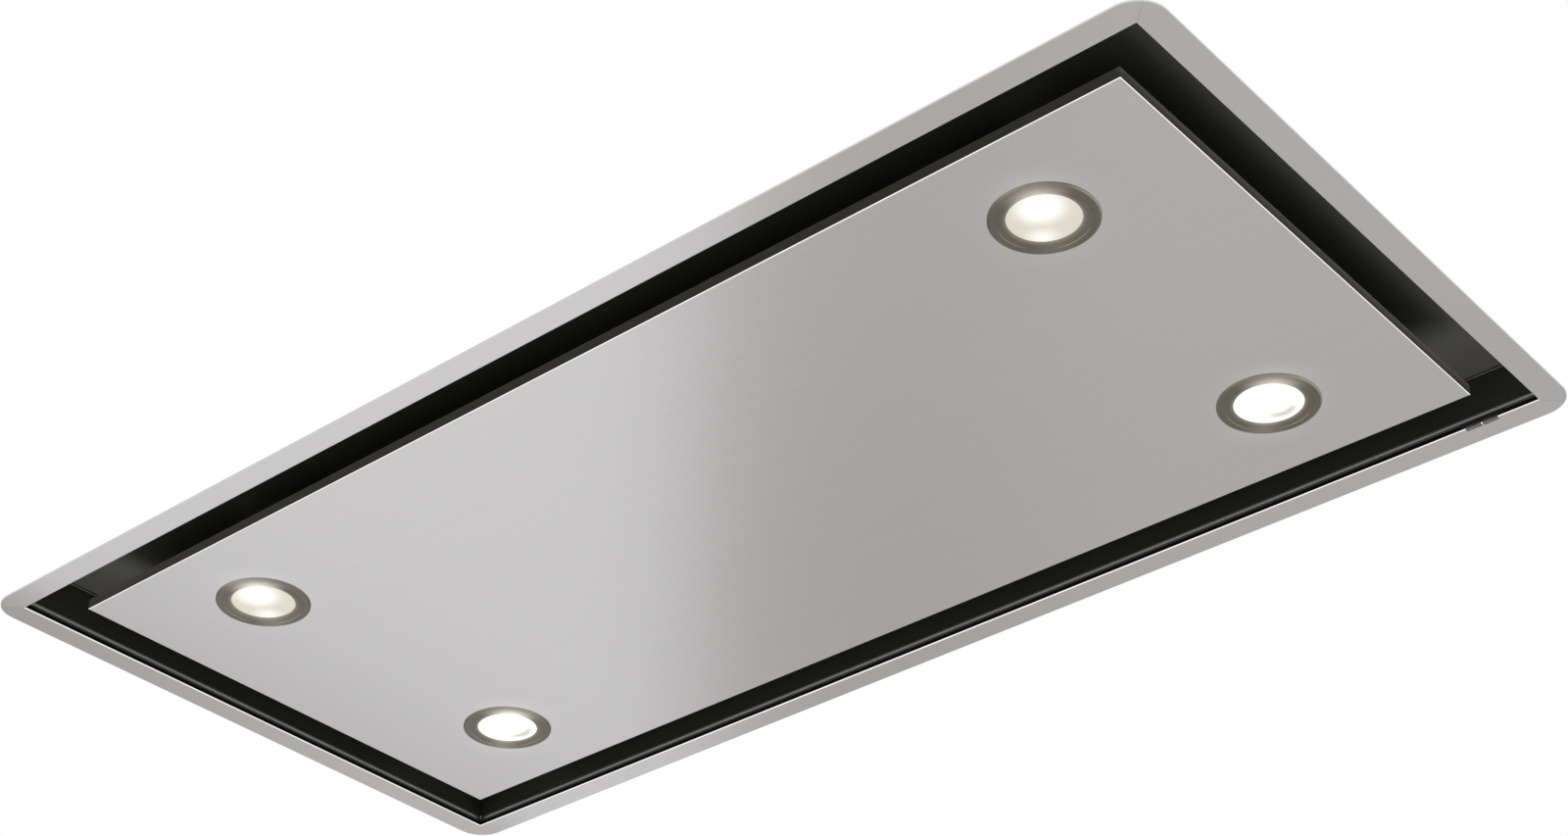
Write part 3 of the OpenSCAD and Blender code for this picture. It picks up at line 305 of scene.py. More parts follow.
# Colour and roughness of each
COATS = {
    "receiver_black": (grey(0.012), 0.45),
    "catch_black": (grey(0.02), 0.5),
    "latch_black": (grey(0.03), 0.4),
    "scroll_grey": ((0.16, 0.165, 0.17), 0.5),
    "wheel_black": (grey(0.028), 0.42),
    "spigot_black": (grey(0.03), 0.4),
    "flap_grey": (grey(0.12), 0.45),
    "box_grey": ((0.5, 0.5, 0.48), 0.45),
    "terminal_white": ((0.72, 0.72, 0.68), 0.4),
    "driver_white": (grey(0.78), 0.38),
    "gland_black": (grey(0.025), 0.45),
}
# Scales of their patterns, and how much their roughness varies either way
COAT_GRAIN, COAT_CLOUDS, COAT_SPREAD = 2000.0, 14.0, 0.04


def grained(name):
    """A finish with the fine orange-peel grain of a powder coat; gives it and its grain."""
    s = finish(name)
    grain = s.noise(s.position, COAT_GRAIN)
    s.bump(grain, distance=0.04 * MM, strength=0.4)
    return s, grain


def coated(name, colour, rough):
    """A powder coat or moulded plastic."""
    s, grain = grained(name)
    s.set(Base_Color=s.tint(colour, s.noise(s.position, COAT_CLOUDS), depth=0.08),
          Roughness=s.uneven(grain, rough, COAT_SPREAD))
    return s


for name, (colour, rough) in COATS.items():
    coated(name, colour, rough)

# The recess

# The bead along the foot of its walls: middle and half height of the paler band, a painted highlight, and
# its top
BEAD_MID, BEAD_HALF, BEAD_TOP = 6.2 * MM, 1.4 * MM, 9.2 * MM
# Heights at which the walls are warm in gloss, and as dull as they get
WARM_FROM, DULL_FROM = 9.6 * MM, 12.0 * MM
# A painted highlight line along the top of its walls
PAINTED_LINE_MID, PAINTED_LINE_HALF = 35.3 * MM, 0.7 * MM
# Factors on the surface's normal, by which the round bead mirrors what lies nearer to level
BEAD_SQUASH = (1.0, 1.0, 0.5)
# Heights between which a painted highlight pales the seal towards its upper edge
SEAL_LOW, SEAL_HIGH = 4.3 * MM, 5.3 * MM
# Where the light of the room begins and is full, or is full and ends, on the recess ceiling
RIGHT_CORNER_X, RIGHT_CORNER_Y = (0.40, 0.43), (0.145, 0.195)
RIGHT_END_X, RIGHT_END_SHARE = (0.445, 0.462), 0.35
LEFT_CORNER_X, LEFT_CORNER_Y = (-0.445, -0.405), (-0.17, -0.15)
CORNER_GLOW = 0.033
# Scale of the clouds in the receiver's windows
WINDOW_CLOUDS = 300.0


def recess_black():
    """Black walls with a painted highlight line along their top and a painted highlight on the bead along
    their foot.
    """
    s, _ = grained("recess_black")
    height = s.split(s.position)[2]
    # Painted highlights: a paler band on the bead and a pale line along the walls' top
    black_and_painted_bead = s.mix(s.bell(height, BEAD_MID, BEAD_HALF), (0.022, 0.022, 0.02), (0.06, 0.06, 0.058))
    painted_lines = s.mix(s.bell(height, PAINTED_LINE_MID, PAINTED_LINE_HALF), black_and_painted_bead, (0.4, 0.38, 0.32))
    gloss = s.mix(s.rising(height, BEAD_TOP, WARM_FROM), (1.0, 1.0, 0.98), (1.0, 0.98, 0.84))
    s.set(Base_Color=painted_lines, Specular_IOR_Level=0.75, Specular_Tint=gloss,
          Roughness=s.ramp(height, BEAD_TOP, DULL_FROM, 0.2, 0.3))
    s.turned("MULTIPLY", BEAD_SQUASH)


def recess_ceiling():
    """Deep black; the light of the room lies on it in two corners and along the right end."""
    s = coated("recess_ceiling", (0.021, 0.0215, 0.018), 0.35)
    x, y, _ = s.split(s.position)
    right_corner = s.times(s.rising(y, *RIGHT_CORNER_Y), s.rising(x, *RIGHT_CORNER_X))
    right_end = s.ramp(x, *RIGHT_END_X, 0.0, RIGHT_END_SHARE)
    left_corner = s.times(s.falling(x, *LEFT_CORNER_X), s.falling(y, *LEFT_CORNER_Y))
    glow = s.most(s.most(right_corner, right_end), left_corner)
    s.set(Specular_IOR_Level=0.35, Emission_Color=(1.0, 0.97, 0.84, 1.0),
          Emission_Strength=s.times(glow, CORNER_GLOW))


def seal_rubber():
    """Dull black rubber with a painted highlight along its upper edge."""
    s, grain = grained("seal_rubber")
    height = s.split(s.position)[2]
    # Painted highlight: the seal pales towards its upper edge
    rubber = s.mix(s.rising(height, SEAL_LOW, SEAL_HIGH), grey(0.004), (0.09, 0.09, 0.088))
    s.set(Base_Color=rubber, Roughness=s.uneven(grain, 0.75, COAT_SPREAD), Specular_IOR_Level=0.08)


def receiver_window():
    """Dark, glossy plastic over the receiver."""
    s = finish("receiver_window")
    clouds = s.noise(s.position, WINDOW_CLOUDS)
    s.set(Base_Color=s.tint((0.085, 0.083, 0.08), clouds, depth=0.2), Roughness=0.12,
          Coat_Weight=0.6, Coat_Roughness=0.05)


recess_black()
recess_ceiling()
seal_rubber()
receiver_window()

# Lamps

LAMP_X, LAMP_Y = 345 * MM, 125 * MM
LENS_R, BEZEL_R = 23 * MM, 34 * MM
# Scale of the concentric lines that turning leaves on the bezel
TURNING_LINES = 2400.0
# Bearing of each lamp's bright side: a mean, and what its place along X and Y adds
BRIGHT_MEAN, BRIGHT_BY_X, BRIGHT_BY_Y = -53.0, -7.0, 8.0
# Light on the bezel at that side and across from it: a mean, what the place adds, and how far round
NEAR_MEAN, NEAR_BY_X, NEAR_BY_Y, NEAR_SPREAD = 0.6, -0.14, 0.04, 57.0
FAR_MEAN, FAR_BY_X, FAR_BY_Y, FAR_FROM = 0.07, -0.018, 0.02, 145.0
# Share of the first that is left at the bezel's outer edge, and the glow close round the lens
NEAR_AT_EDGE = 0.25
RIM_WIDTH, RIM_GLOW = 3 * MM, 0.08
# Places on the front lenses, from the lamp's middle, of the source and a fainter second spot
SOURCE_X, SOURCE_Y, SOURCE_R = 4 * MM, -9.5 * MM, (5 * MM, 21.5 * MM)
SECOND_X, SECOND_Y, SECOND_R, SECOND_GLOW = -12 * MM, 15 * MM, (0.0, 15.5 * MM), 0.72
# The rear lenses' arch of shadow: its middle, radius, half width, and where along Y it sets in
ARCH_X, ARCH_Y, ARCH_R, ARCH_HALF = 2.5 * MM, 8 * MM, 8 * MM, 5.5 * MM
SHADOW_Y, SHADOW_DEPTH, REAR_GLOW = (9 * MM, 15 * MM), 0.45, 0.99
# The halo on the panel: how far it reaches from the lamp's middle, and its strengths
HALO_R, HALO_NEAR, HALO_ALL_ROUND, HALO_SPREAD = (32 * MM, 54 * MM), 0.052, 0.01, 62.0
HALO_BEHIND_FRONT, HALO_BEHIND_REAR, HALO_BEHIND_SPAN = 0.01, 0.032, (120.0, 165.0)


Lamp = namedtuple("Lamp", "x y sign_x sign_y")


def nearest_lamp(s):
    """X and Y from the middle of the nearest lamp, and the signs of its place on the panel."""
    x, y, _ = s.split(s.position)
    sign_x, sign_y = s.math("SIGN", x), s.math("SIGN", y)
    return Lamp(s.less(x, s.times(sign_x, LAMP_X)), s.less(y, s.times(sign_y, LAMP_Y)), sign_x, sign_y)


def by_place(s, lamp, mean, by_x, by_y):
    """A number that depends on which of the four lamps it is."""
    return s.add(s.add(s.times(lamp.sign_x, by_x), s.times(lamp.sign_y, by_y)), mean)


def off_bright(s, lamp):
    """Degrees round the lamp from the side on which its lens throws most light."""
    bright_side = by_place(s, lamp, BRIGHT_MEAN, BRIGHT_BY_X, BRIGHT_BY_Y)
    return s.apart(s.bearing(lamp.x, lamp.y), bright_side)


def from_spot(s, lamp, x, y):
    """Distance from a place on the lamp's lens."""
    return s.distance(s.less(lamp.x, x), s.less(lamp.y, y))


def bezel_metal():
    """Turned bezel: concentric lines, and the light that the lens throws on it."""
    s = finish("bezel_metal")
    lamp = nearest_lamp(s)
    radius = s.distance(lamp.x, lamp.y)
    lines = s.noise(s.join(s.times(radius, TURNING_LINES), 0.0, 0.0), 1.0, detail=3.0, rough=0.7)
    off = off_bright(s, lamp)
    near_gain = by_place(s, lamp, NEAR_MEAN, NEAR_BY_X, NEAR_BY_Y)
    near = s.times(s.times(s.falling(off, 0.0, NEAR_SPREAD), near_gain),
                   s.ramp(radius, LENS_R, BEZEL_R, 1.0, NEAR_AT_EDGE))
    far = s.times(s.rising(off, FAR_FROM, 180.0), by_place(s, lamp, FAR_MEAN, FAR_BY_X, FAR_BY_Y))
    rim = s.ramp(radius, LENS_R, LENS_R + RIM_WIDTH, RIM_GLOW, 0.0)
    s.set(Base_Color=s.tint((0.178, 0.164, 0.130), lines, depth=0.1), Metallic=1.0,
          Roughness=s.ramp(lines, low=0.2, high=0.8, start=0.26, end=0.36),
          Emission_Color=(1.0, 0.95, 0.84, 1.0), Emission_Strength=s.add(s.add(near, far), rim))
    s.bump(lines, distance=0.03 * MM, strength=0.4)


def lens_lit():
    """Frosted lens: in front two spots on a cream ground, at the rear lit but for an arch of shadow."""
    s = finish("lens_lit")
    lamp = nearest_lamp(s)
    bright = s.most(s.falling(from_spot(s, lamp, SOURCE_X, SOURCE_Y), *SOURCE_R),
                    s.ramp(from_spot(s, lamp, SECOND_X, SECOND_Y), *SECOND_R, SECOND_GLOW, 0.0))
    front = s.mix(bright, (0.61, 0.565, 0.475), (1.0, 0.985, 0.94))
    shadow = s.times(s.bell(from_spot(s, lamp, ARCH_X, ARCH_Y), ARCH_R, ARCH_HALF),
                     s.ramp(lamp.y, *SHADOW_Y, 0.0, SHADOW_DEPTH))
    rear = s.scaled((1.0, 0.965, 0.9), s.less(REAR_GLOW, shadow))
    s.set(Base_Color=(0.1, 0.1, 0.09, 1.0), Roughness=0.35, Emission_Strength=1.0,
          Emission_Color=s.mix(s.rising(lamp.sign_y, -1.0, 1.0), front, rear))


def panel_halo():
    """The lamps' halo on the panel's face, widest on their bright side, and behind the rear lamps."""
    s = finishes["panel_steel"]
    lamp = nearest_lamp(s)
    off = off_bright(s, lamp)
    behind = s.times(s.rising(off, *HALO_BEHIND_SPAN),
                     s.ramp(lamp.sign_y, -1.0, 1.0, HALO_BEHIND_FRONT, HALO_BEHIND_REAR))
    all_round = s.add(s.add(s.ramp(off, 0.0, HALO_SPREAD, HALO_NEAR, 0.0), behind), HALO_ALL_ROUND)
    fading = s.times(s.falling(s.distance(lamp.x, lamp.y), *HALO_R),
                     s.falling(s.split(s.position)[2], FACE_TOP, BACK_LOW))
    s.set(Emission_Color=(1.0, 0.97, 0.88, 1.0), Emission_Strength=s.times(all_round, fading))


bezel_metal()
lens_lit()
panel_halo()

# Finishes of the CAD nodes


def finish_of(part):
    """The name of a node's finish: its slot, but for the rails, brushed two ways, and the ceiling."""
    if part["node"] == "baffle_plate":
        return "recess_ceiling"
    if part["material_slot"] == "trim_steel":
        return "trim_steel_x" if part["node"] in ("trim_front", "trim_rear") else "trim_steel_y"
    return part["material_slot"]


for part in frame["record"]["subparts"]:
    mesh = nodes[part["node"]].data
    if not mesh.materials:
        mesh.materials.append(None)
    for i in range(len(mesh.materials)):
        mesh.materials[i] = finishes[finish_of(part)].material

# Forms of the small pieces, each about one unit wide and high; their feet sink a little into the sheet

SUNK = -0.15


def form_object(name, shape, sharp=None):
    """A form that a tree repeats; it leaves the scene once the trees have run."""
    verts, faces = shape
    mesh = bpy.data.meshes.new(name)
    mesh.from_pydata(verts, [], faces)
    if sharp is not None:
        mesh.polygons.foreach_set("use_smooth", [True] * len(mesh.polygons))
        mesh.set_sharp_from_angle(angle=math.radians(sharp))
    made = bpy.data.objects.new(name, mesh)
    bpy.context.scene.collection.objects.link(made)
    return made


def turned_form(profile, sides=16):
    """A closed turned form from (radius, height) points that run from the axis back to the axis."""
    verts, faces, rows = [], [], []
    for r, z in profile:
        if r == 0:
            rows.append([len(verts)] * sides)
            verts.append((0.0, 0.0, z))
        else:
            rows.append(list(range(len(verts), len(verts) + sides)))
            turns = [FULL_TURN * k / sides for k in range(sides)]
            verts += [(r * math.cos(a), r * math.sin(a), z) for a in turns]
    for low, high in zip(rows, rows[1:]):
        for k in range(sides):
            n = (k + 1) % sides
            ring = [low[k], low[n], high[n], high[k]]
            ring = [v for i, v in enumerate(ring) if v not in ring[:i]]
            if len(ring) > 2:
                faces.append(ring)
    return verts, faces


def dome_form(rows=4):
    """A rivet's domed head, one unit in radius and height."""
    turns = [QUARTER_TURN * k / rows for k in range(rows)]
    curve = [(math.cos(a), math.sin(a)) for a in turns]
    return turned_form([(0, SUNK), (1, SUNK)] + curve + [(0, 1)])


def weld_form():
    """A spot weld's raised ring round a shallow dimple."""
    return turned_form([(0, SUNK), (1, SUNK), (1, 0.3), (0.75, 1), (0.5, 0.6), (0, 0.3)])


def pan_head_form(rings=8, sides=32):
    """A screw's pan head with a cross recess, one unit in radius and height."""
    arm, reach, depth, crown = 0.13, 0.58, 0.55, 0.86

    def height(x, y):
        top = math.sqrt(max(0.0, 1 - (crown * math.hypot(x, y)) ** 4))
        cut = min(abs(x), abs(y)) < arm and max(abs(x), abs(y)) < reach
        return top - (depth if cut else 0.0)

    verts, faces = [(0.0, 0.0, height(0, 0))], []
    for j in range(1, rings + 1):
        for k in range(sides):
            a = FULL_TURN * (k + 0.5) / sides
            x, y = j / rings * math.cos(a), j / rings * math.sin(a)
            verts.append((x, y, height(x, y)))
    last, base = 1 + (rings - 1) * sides, len(verts)
    verts += [(x, y, SUNK) for x, y, _ in verts[last:]]
    for k in range(sides):
        n = (k + 1) % sides
        faces.append([0, 1 + k, 1 + n])
        for j in range(rings - 1):
            a, b = 1 + j * sides, 1 + (j + 1) * sides
            faces.append([a + k, b + k, b + n, a + n])
        faces.append([last + k, base + k, base + n, last + n])
    faces.append([base + k for k in range(sides)][::-1])
    return verts, faces


def rib_form(sides=8):
    """A half-round rib along X, one unit long, half a unit to each side and one unit high."""
    foot = -0.3
    turns = [HALF_TURN * k / sides for k in range(sides + 1)]
    outline = [(0.5 * math.cos(a), math.sin(a)) for a in turns] + [(-0.5, foot), (0.5, foot)]
    n = len(outline)
    verts = [(-0.5, y, z) for y, z in outline] + [(0.5, y, z) for y, z in outline]
    faces = [list(range(n))[::-1], list(range(n, 2 * n))]
    faces += [[k, (k + 1) % n, n + (k + 1) % n, n + k] for k in range(n)]
    return verts, faces


def plate_form(bevel=0.1):
    """A flat plate with bevelled upper edges, one unit each way."""
    verts = []
    for half, z in ((0.5, -0.1), (0.5, 1 - bevel * 4), (0.5 - bevel / 4, 1)):
        verts += [(-half, -half, z), (half, -half, z), (half, half, z), (-half, half, z)]
    faces = [[3, 2, 1, 0], [8, 9, 10, 11]]
    for low in (0, 4):
        faces += [[low + k, low + (k + 1) % 4, low + 4 + (k + 1) % 4, low + 4 + k] for k in range(4)]
    return verts, faces


forms = {
    "dome": form_object("form_dome", dome_form(), sharp=50),
    "pan_head": form_object("form_pan_head", pan_head_form(), sharp=40),
    "weld": form_object("form_weld", weld_form(), sharp=50),
    "rib": form_object("form_rib", rib_form(), sharp=40),
    "plate": form_object("form_plate", plate_form()),
}

# Trees that repeat them


def geometry_graph(name, inputs):
    """A geometry tree with named inputs; gives its graph and its input sockets."""
    tree = bpy.data.node_groups.new(name, "GeometryNodeTree")
    for label, kind in inputs:
        tree.interface.new_socket(label, in_out="INPUT", socket_type="NodeSocket" + kind)
    tree.interface.new_socket("Pieces", in_out="OUTPUT", socket_type="NodeSocketGeometry")
    graph = Graph(tree)
    return graph, graph.node("NodeGroupInput").outputs


def end_graph(graph, geometry, material):
    """Ends a tree in Realize Instances and Set Material."""
    real = graph.node("GeometryNodeRealizeInstances", {"Geometry": geometry})
    dressed = graph.node("GeometryNodeSetMaterial", {"Geometry": real.outputs[0], "Material": material})
    graph.node("NodeGroupOutput", {0: dressed.outputs[0]})
    return graph.tree


def stored(graph, name, data_type):
    """What a point carries under a name."""
    return graph.node("GeometryNodeInputNamedAttribute", {"Name": name}, data_type=data_type).outputs[0]


def repeat_tree():
    """Repeats a form at points, turned as each point's attribute says."""
    g, given = geometry_graph("repeat_form", (
        ("Places", "Geometry"), ("Form", "Object"), ("Size", "Vector"), ("Finish", "Material")))
    form = g.node("GeometryNodeObjectInfo", {"Object": given["Form"]})
    rotation = g.node("FunctionNodeEulerToRotation", {0: stored(g, "turn", "FLOAT_VECTOR")})
    spread = g.node("GeometryNodeInstanceOnPoints", {
        "Points": given["Places"], "Instance": form.outputs["Geometry"],
        "Rotation": rotation.outputs[0], "Scale": given["Size"]})
    return end_graph(g, spread.outputs[0], given["Finish"])


def net_tree():
    """Expanded metal: zigzag strands along X, one for each point, that touch at their bends."""
    g, given = geometry_graph("expanded_net", (
        ("Rows", "Geometry"), ("Bends", "Int"), ("Step", "Float"), ("Swing", "Float"),
        ("Strand width", "Float"), ("Strand thickness", "Float"), ("Finish", "Material")))
    start = g.times(g.times(given["Bends"], given["Step"]), -0.5)
    line = g.node("GeometryNodeMeshLine", {
        "Count": g.add(given["Bends"], 1.0), "Start Location": g.join(start, 0.0, 0.0),
        "Offset": g.join(given["Step"], 0.0, 0.0)})
    number = g.node("GeometryNodeInputIndex").outputs[0]
    counted = g.node("GeometryNodeStoreNamedAttribute", {
        "Geometry": line.outputs[0], "Name": "bend", "Value": number})
    rows = g.node("GeometryNodeInstanceOnPoints", {
        "Points": given["Rows"], "Instance": counted.outputs[0]})
    real = g.node("GeometryNodeRealizeInstances", {"Geometry": rows.outputs[0]})
    turns = g.add(stored(g, "bend", "FLOAT"), stored(g, "phase", "FLOAT"))
    wave = g.math("COSINE", g.times(turns, HALF_TURN))
    bent = g.node("GeometryNodeSetPosition", {
        "Geometry": real.outputs[0], "Offset": g.join(0.0, g.times(wave, given["Swing"]), 0.0)})
    strands = g.node("GeometryNodeMeshToCurve", {"Mesh": bent.outputs[0]})
    upright = g.node("GeometryNodeSetCurveNormal", {"Curve": strands.outputs[0]}, mode="Z_UP")
    section = g.node("GeometryNodeCurvePrimitiveQuadrilateral", {
        "Width": given["Strand width"], "Height": given["Strand thickness"]})
    net = g.node("GeometryNodeCurveToMesh", {
        "Curve": upright.outputs[0], "Profile Curve": section.outputs[0], "Fill Caps": True})
    return end_graph(g, net.outputs[0], given["Finish"])


def grow(name, points, attribute, kind, values, tree, inputs):
    """Runs a tree on points in mm, with one attribute, and keeps its result as a plain mesh."""
    mesh = bpy.data.meshes.new(name + "_points")
    mesh.from_pydata([[c * MM for c in p] for p in points], [], [])
    carried = mesh.attributes.new(attribute, kind, "POINT")
    carried.data.foreach_set("vector" if kind == "FLOAT_VECTOR" else "value", values)
    made = bpy.data.objects.new(name, mesh)
    bpy.context.scene.collection.objects.link(made)
    modifier = made.modifiers.new("grow", "NODES")
    modifier.node_group = tree
    for item in tree.interface.items_tree:
        if item.name in inputs:
            modifier[item.identifier] = inputs[item.name]
    made.update_tag()
    depsgraph = bpy.context.evaluated_depsgraph_get()
    grown = bpy.data.meshes.new_from_object(made.evaluated_get(depsgraph))
    made.modifiers.clear()
    made.data = grown
    grown.name = name
    bpy.data.meshes.remove(mesh)
    return made


repeat_form, expanded_net = repeat_tree(), net_tree()

FACING = {
    "+Z": Matrix.Identity(3), "-Z": Matrix.Rotation(HALF_TURN, 3, "X"),
    "+X": Matrix.Rotation(QUARTER_TURN, 3, "Y"), "-X": Matrix.Rotation(-QUARTER_TURN, 3, "Y"),
    "+Y": Matrix.Rotation(-QUARTER_TURN, 3, "X"), "-Y": Matrix.Rotation(QUARTER_TURN, 3, "X"),
}


def place(x, y, z, facing="+Z", turn=0.0):
    """A point in mm with the turn of a form whose top faces an axis."""
    return (x, y, z), (FACING[facing] @ Matrix.Rotation(turn, 3, "Z")).to_euler()


def screw(x, y, z, facing="+Z"):
    """A place for a screw, driven home at any turn."""
    return place(x, y, z, facing, rng.uniform(0, HALF_TURN))


def repeat(name, form, size, places, material, body):
    """Repeats a form, sized in mm, at places on one body."""
    turns = [angle for _, turn in places for angle in turn]
    made = grow(name, [point for point, _ in places], "turn", "FLOAT_VECTOR", turns, repeat_form,
                {"Form": forms[form], "Size": tuple(s * MM for s in size),
                 "Finish": finishes[material].material})
    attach(made, body)


# Sizes in mm: of heads and welds the radius both ways and the height, of the rest their full extent

SHEET_SCREW, SMALL_SCREW = (3.6, 3.6, 1.9), (2.6, 2.6, 1.4)
SHEET_RIVET, SMALL_RIVET, FRAME_RIVET = (3.4, 3.4, 1.2), (2.6, 2.6, 1.0), (2.4, 2.4, 0.8)
WELD = (2.6, 2.6, 0.25)
POLE, TAB, GLAND_RIB, LATCH_RIB = (36, 1.6, 0.12), (0.8, 4.8, 7.0), (10.0, 1.4, 0.6), (18, 0.9, 0.4)

# Places in mm, as the CAD has them; a name that ends in X, Y or Z is a place or a way from the middle

SIDES = (-1, 1)
CORNERS = [(a, b) for a in SIDES for b in SIDES]
# The housing's lid, its screws along the four walls, and the rivets of the walls' corner seams
LID_X, LID_Y, LID_SCREW_Z, LID_TOP_Z = 484.4, 233.3, 248.5, 256.0
LONG_SCREWS_X, SHORT_SCREWS_Y = (-420, -210, 0, 210, 420), (-150, 0, 150)
SEAM_X, SEAM_Y, SEAM_RIVETS_Z = 483.3, 224.7, (40, 130, 210)
# Hangers and spigot flange, riveted on the lid
HANGER_X, HANGER_Y, HANGER_RIVET_X, HANGER_RIVET_Y, HANGER_Z = 430.0, 180.0, 9, 33, 258
FLANGE_R, FLANGE_RIVETS, FLANGE_Z = 82.5, 8, 257.5
# Control box and lamp driver under the lid, with their screws through it, and the box's own lid
BOX_X, BOX_SCREW_X, BOX_SCREW_Y = -390.0, 45, 80
COVER_SCREW_X, COVER_SCREW_Y, COVER_Z = 52, 87, 201
DRIVER_X, DRIVER_SCREW_X, DRIVER_Z = 330.0, 72, 253
CAPACITOR_X, CAPACITOR_Y, TAB_X, TAB_Y, TAB_Z = 176, 124, 207, 6, 237.7
GLAND_R, GLAND_Z, GLAND_RIBS = 11.7, 268.0, 24
# Hinges: brackets under the recess ceiling and leaves on the panel
HINGE_X, HINGE_SCREW_X = 290.0, 12
BRACKET_Y, BRACKET_Z, LEAF_Y, LEAF_Z = 184.1, 34.5, 194.8, 10.7
# Magnets under the recess ceiling and strike plates on the panel
CATCH_Y, CATCH_SCREW_X, CATCH_Z, POLE_Y, POLE_Z = -164.0, 24, 33, 4, 11.0
STRIKE_RIVET_X, STRIKE_Z = 15, 3.7
# Stiffeners on the panel: where the two lie, and the welds along their two feet
STIFFENER_Y, WELD_Y, WELD_Z, WELD_END, WELD_STEP = 48, 13, 3.2, 250, 50
# Filters: frame corners and latch grips
FILTER_X, FRAME_RIVET_X, FRAME_RIVET_Y, FRAME_Z = 170.0, 153, 125, 34
GRIP_Y, GRIP_RIBS_Z = -131.2, (29, 30.6, 32.2)
# Blower: the axis, the screws round it on the motor and its bracket, and those along the scroll's seam
BLOWER_Y, BLOWER_Z = -59.0, 152.0
MOTOR_SCREWS = ((54, 79.3, (90, 210, 330)), (65.6, 19.5, (30, 150, 270)), (63.6, 29.6, (30, 150, 270)))
SEAM_FACE_X, SEAM_R, SEAM_GROWTH, SEAM_FROM, SEAM_TURN = 3, 87, 28, 60, 300
SEAM_ANGLES = (75, 120, 165, 210, 250, 300, 345)

# Screws, rivets, poles, tabs and ribs on the hood


def blower_screw(x, radius, degrees):
    """A screw round the blower's axis."""
    a = math.radians(degrees)
    return screw(x, BLOWER_Y + radius * math.cos(a), BLOWER_Z + radius * math.sin(a), "+X")


def gland_rib(turn):
    """An upright rib on the gland's nut."""
    point = (BOX_X + GLAND_R * math.cos(turn), GLAND_R * math.sin(turn), GLAND_Z)
    return point, (Matrix.Rotation(turn, 3, "Z") @ FACING["+X"]).to_euler()


outer = [screw(x, s * LID_Y, LID_SCREW_Z, "+Y" if s > 0 else "-Y") for x in LONG_SCREWS_X for s in SIDES]
outer += [screw(s * LID_X, y, LID_SCREW_Z, "+X" if s > 0 else "-X") for y in SHORT_SCREWS_Y for s in SIDES]
outer += [screw(BOX_X + BOX_SCREW_X * a, BOX_SCREW_Y * b, LID_TOP_Z) for a, b in CORNERS]
outer += [screw(DRIVER_X + DRIVER_SCREW_X * a, 0, LID_TOP_Z) for a in SIDES]
outer += [screw(CAPACITOR_X, CAPACITOR_Y, LID_TOP_Z)]
repeat("housing_screws", "pan_head", SHEET_SCREW, outer, "hardware_steel", "hood")

inner = [screw(BOX_X + COVER_SCREW_X * a, COVER_SCREW_Y * b, COVER_Z, "-Z") for a, b in CORNERS]
inner += [screw(DRIVER_X + DRIVER_SCREW_X * a, 0, DRIVER_Z, "-Z") for a in SIDES]
inner += [screw(HINGE_X * a + HINGE_SCREW_X * b, BRACKET_Y, BRACKET_Z, "-Z") for a, b in CORNERS]
inner += [screw(HINGE_X * a + CATCH_SCREW_X * b, CATCH_Y, CATCH_Z, "-Z") for a, b in CORNERS]
inner += [blower_screw(x, radius, a) for x, radius, angles in MOTOR_SCREWS for a in angles]
inner += [blower_screw(SEAM_FACE_X, SEAM_R + SEAM_GROWTH * (a - SEAM_FROM) / SEAM_TURN, a)
          for a in SEAM_ANGLES]
repeat("inner_screws", "pan_head", SMALL_SCREW, inner, "hardware_steel", "hood")

rivets = [place(HANGER_X * a + HANGER_RIVET_X * c, HANGER_Y * b + HANGER_RIVET_Y * d, HANGER_Z)
          for a, b in CORNERS for c, d in CORNERS]
rivet_turns = [FULL_TURN / FLANGE_RIVETS * (k + 0.5) for k in range(FLANGE_RIVETS)]
rivets += [place(FLANGE_R * math.cos(a), FLANGE_R * math.sin(a), FLANGE_Z) for a in rivet_turns]
repeat("housing_rivets", "dome", SHEET_RIVET, rivets, "hardware_steel", "hood")

rivets = [place(a * SEAM_X, b * SEAM_Y, z, "+X" if a > 0 else "-X")
          for a, b in CORNERS for z in SEAM_RIVETS_Z]
repeat("corner_rivets", "dome", SMALL_RIVET, rivets, "hardware_steel", "hood")
rivets = [place(FILTER_X * a + FRAME_RIVET_X * b, FRAME_RIVET_Y * c, FRAME_Z, "-Z")
          for a, b in CORNERS for c in SIDES]
repeat("filter_rivets", "dome", FRAME_RIVET, rivets, "filter_aluminium", "hood")
poles = [place(HINGE_X * a, CATCH_Y + POLE_Y * b, POLE_Z, "-Z") for a, b in CORNERS]
repeat("magnet_poles", "plate", POLE, poles, "hardware_steel", "hood")
tabs = [place(TAB_X, CAPACITOR_Y + TAB_Y * b, TAB_Z, "+X") for b in SIDES]
repeat("capacitor_tabs", "plate", TAB, tabs, "hardware_steel", "hood")
ribs = [gland_rib(FULL_TURN * k / GLAND_RIBS) for k in range(GLAND_RIBS)]
repeat("gland_ribs", "rib", GLAND_RIB, ribs, "gland_black", "hood")

# The same on the panel and the two latches

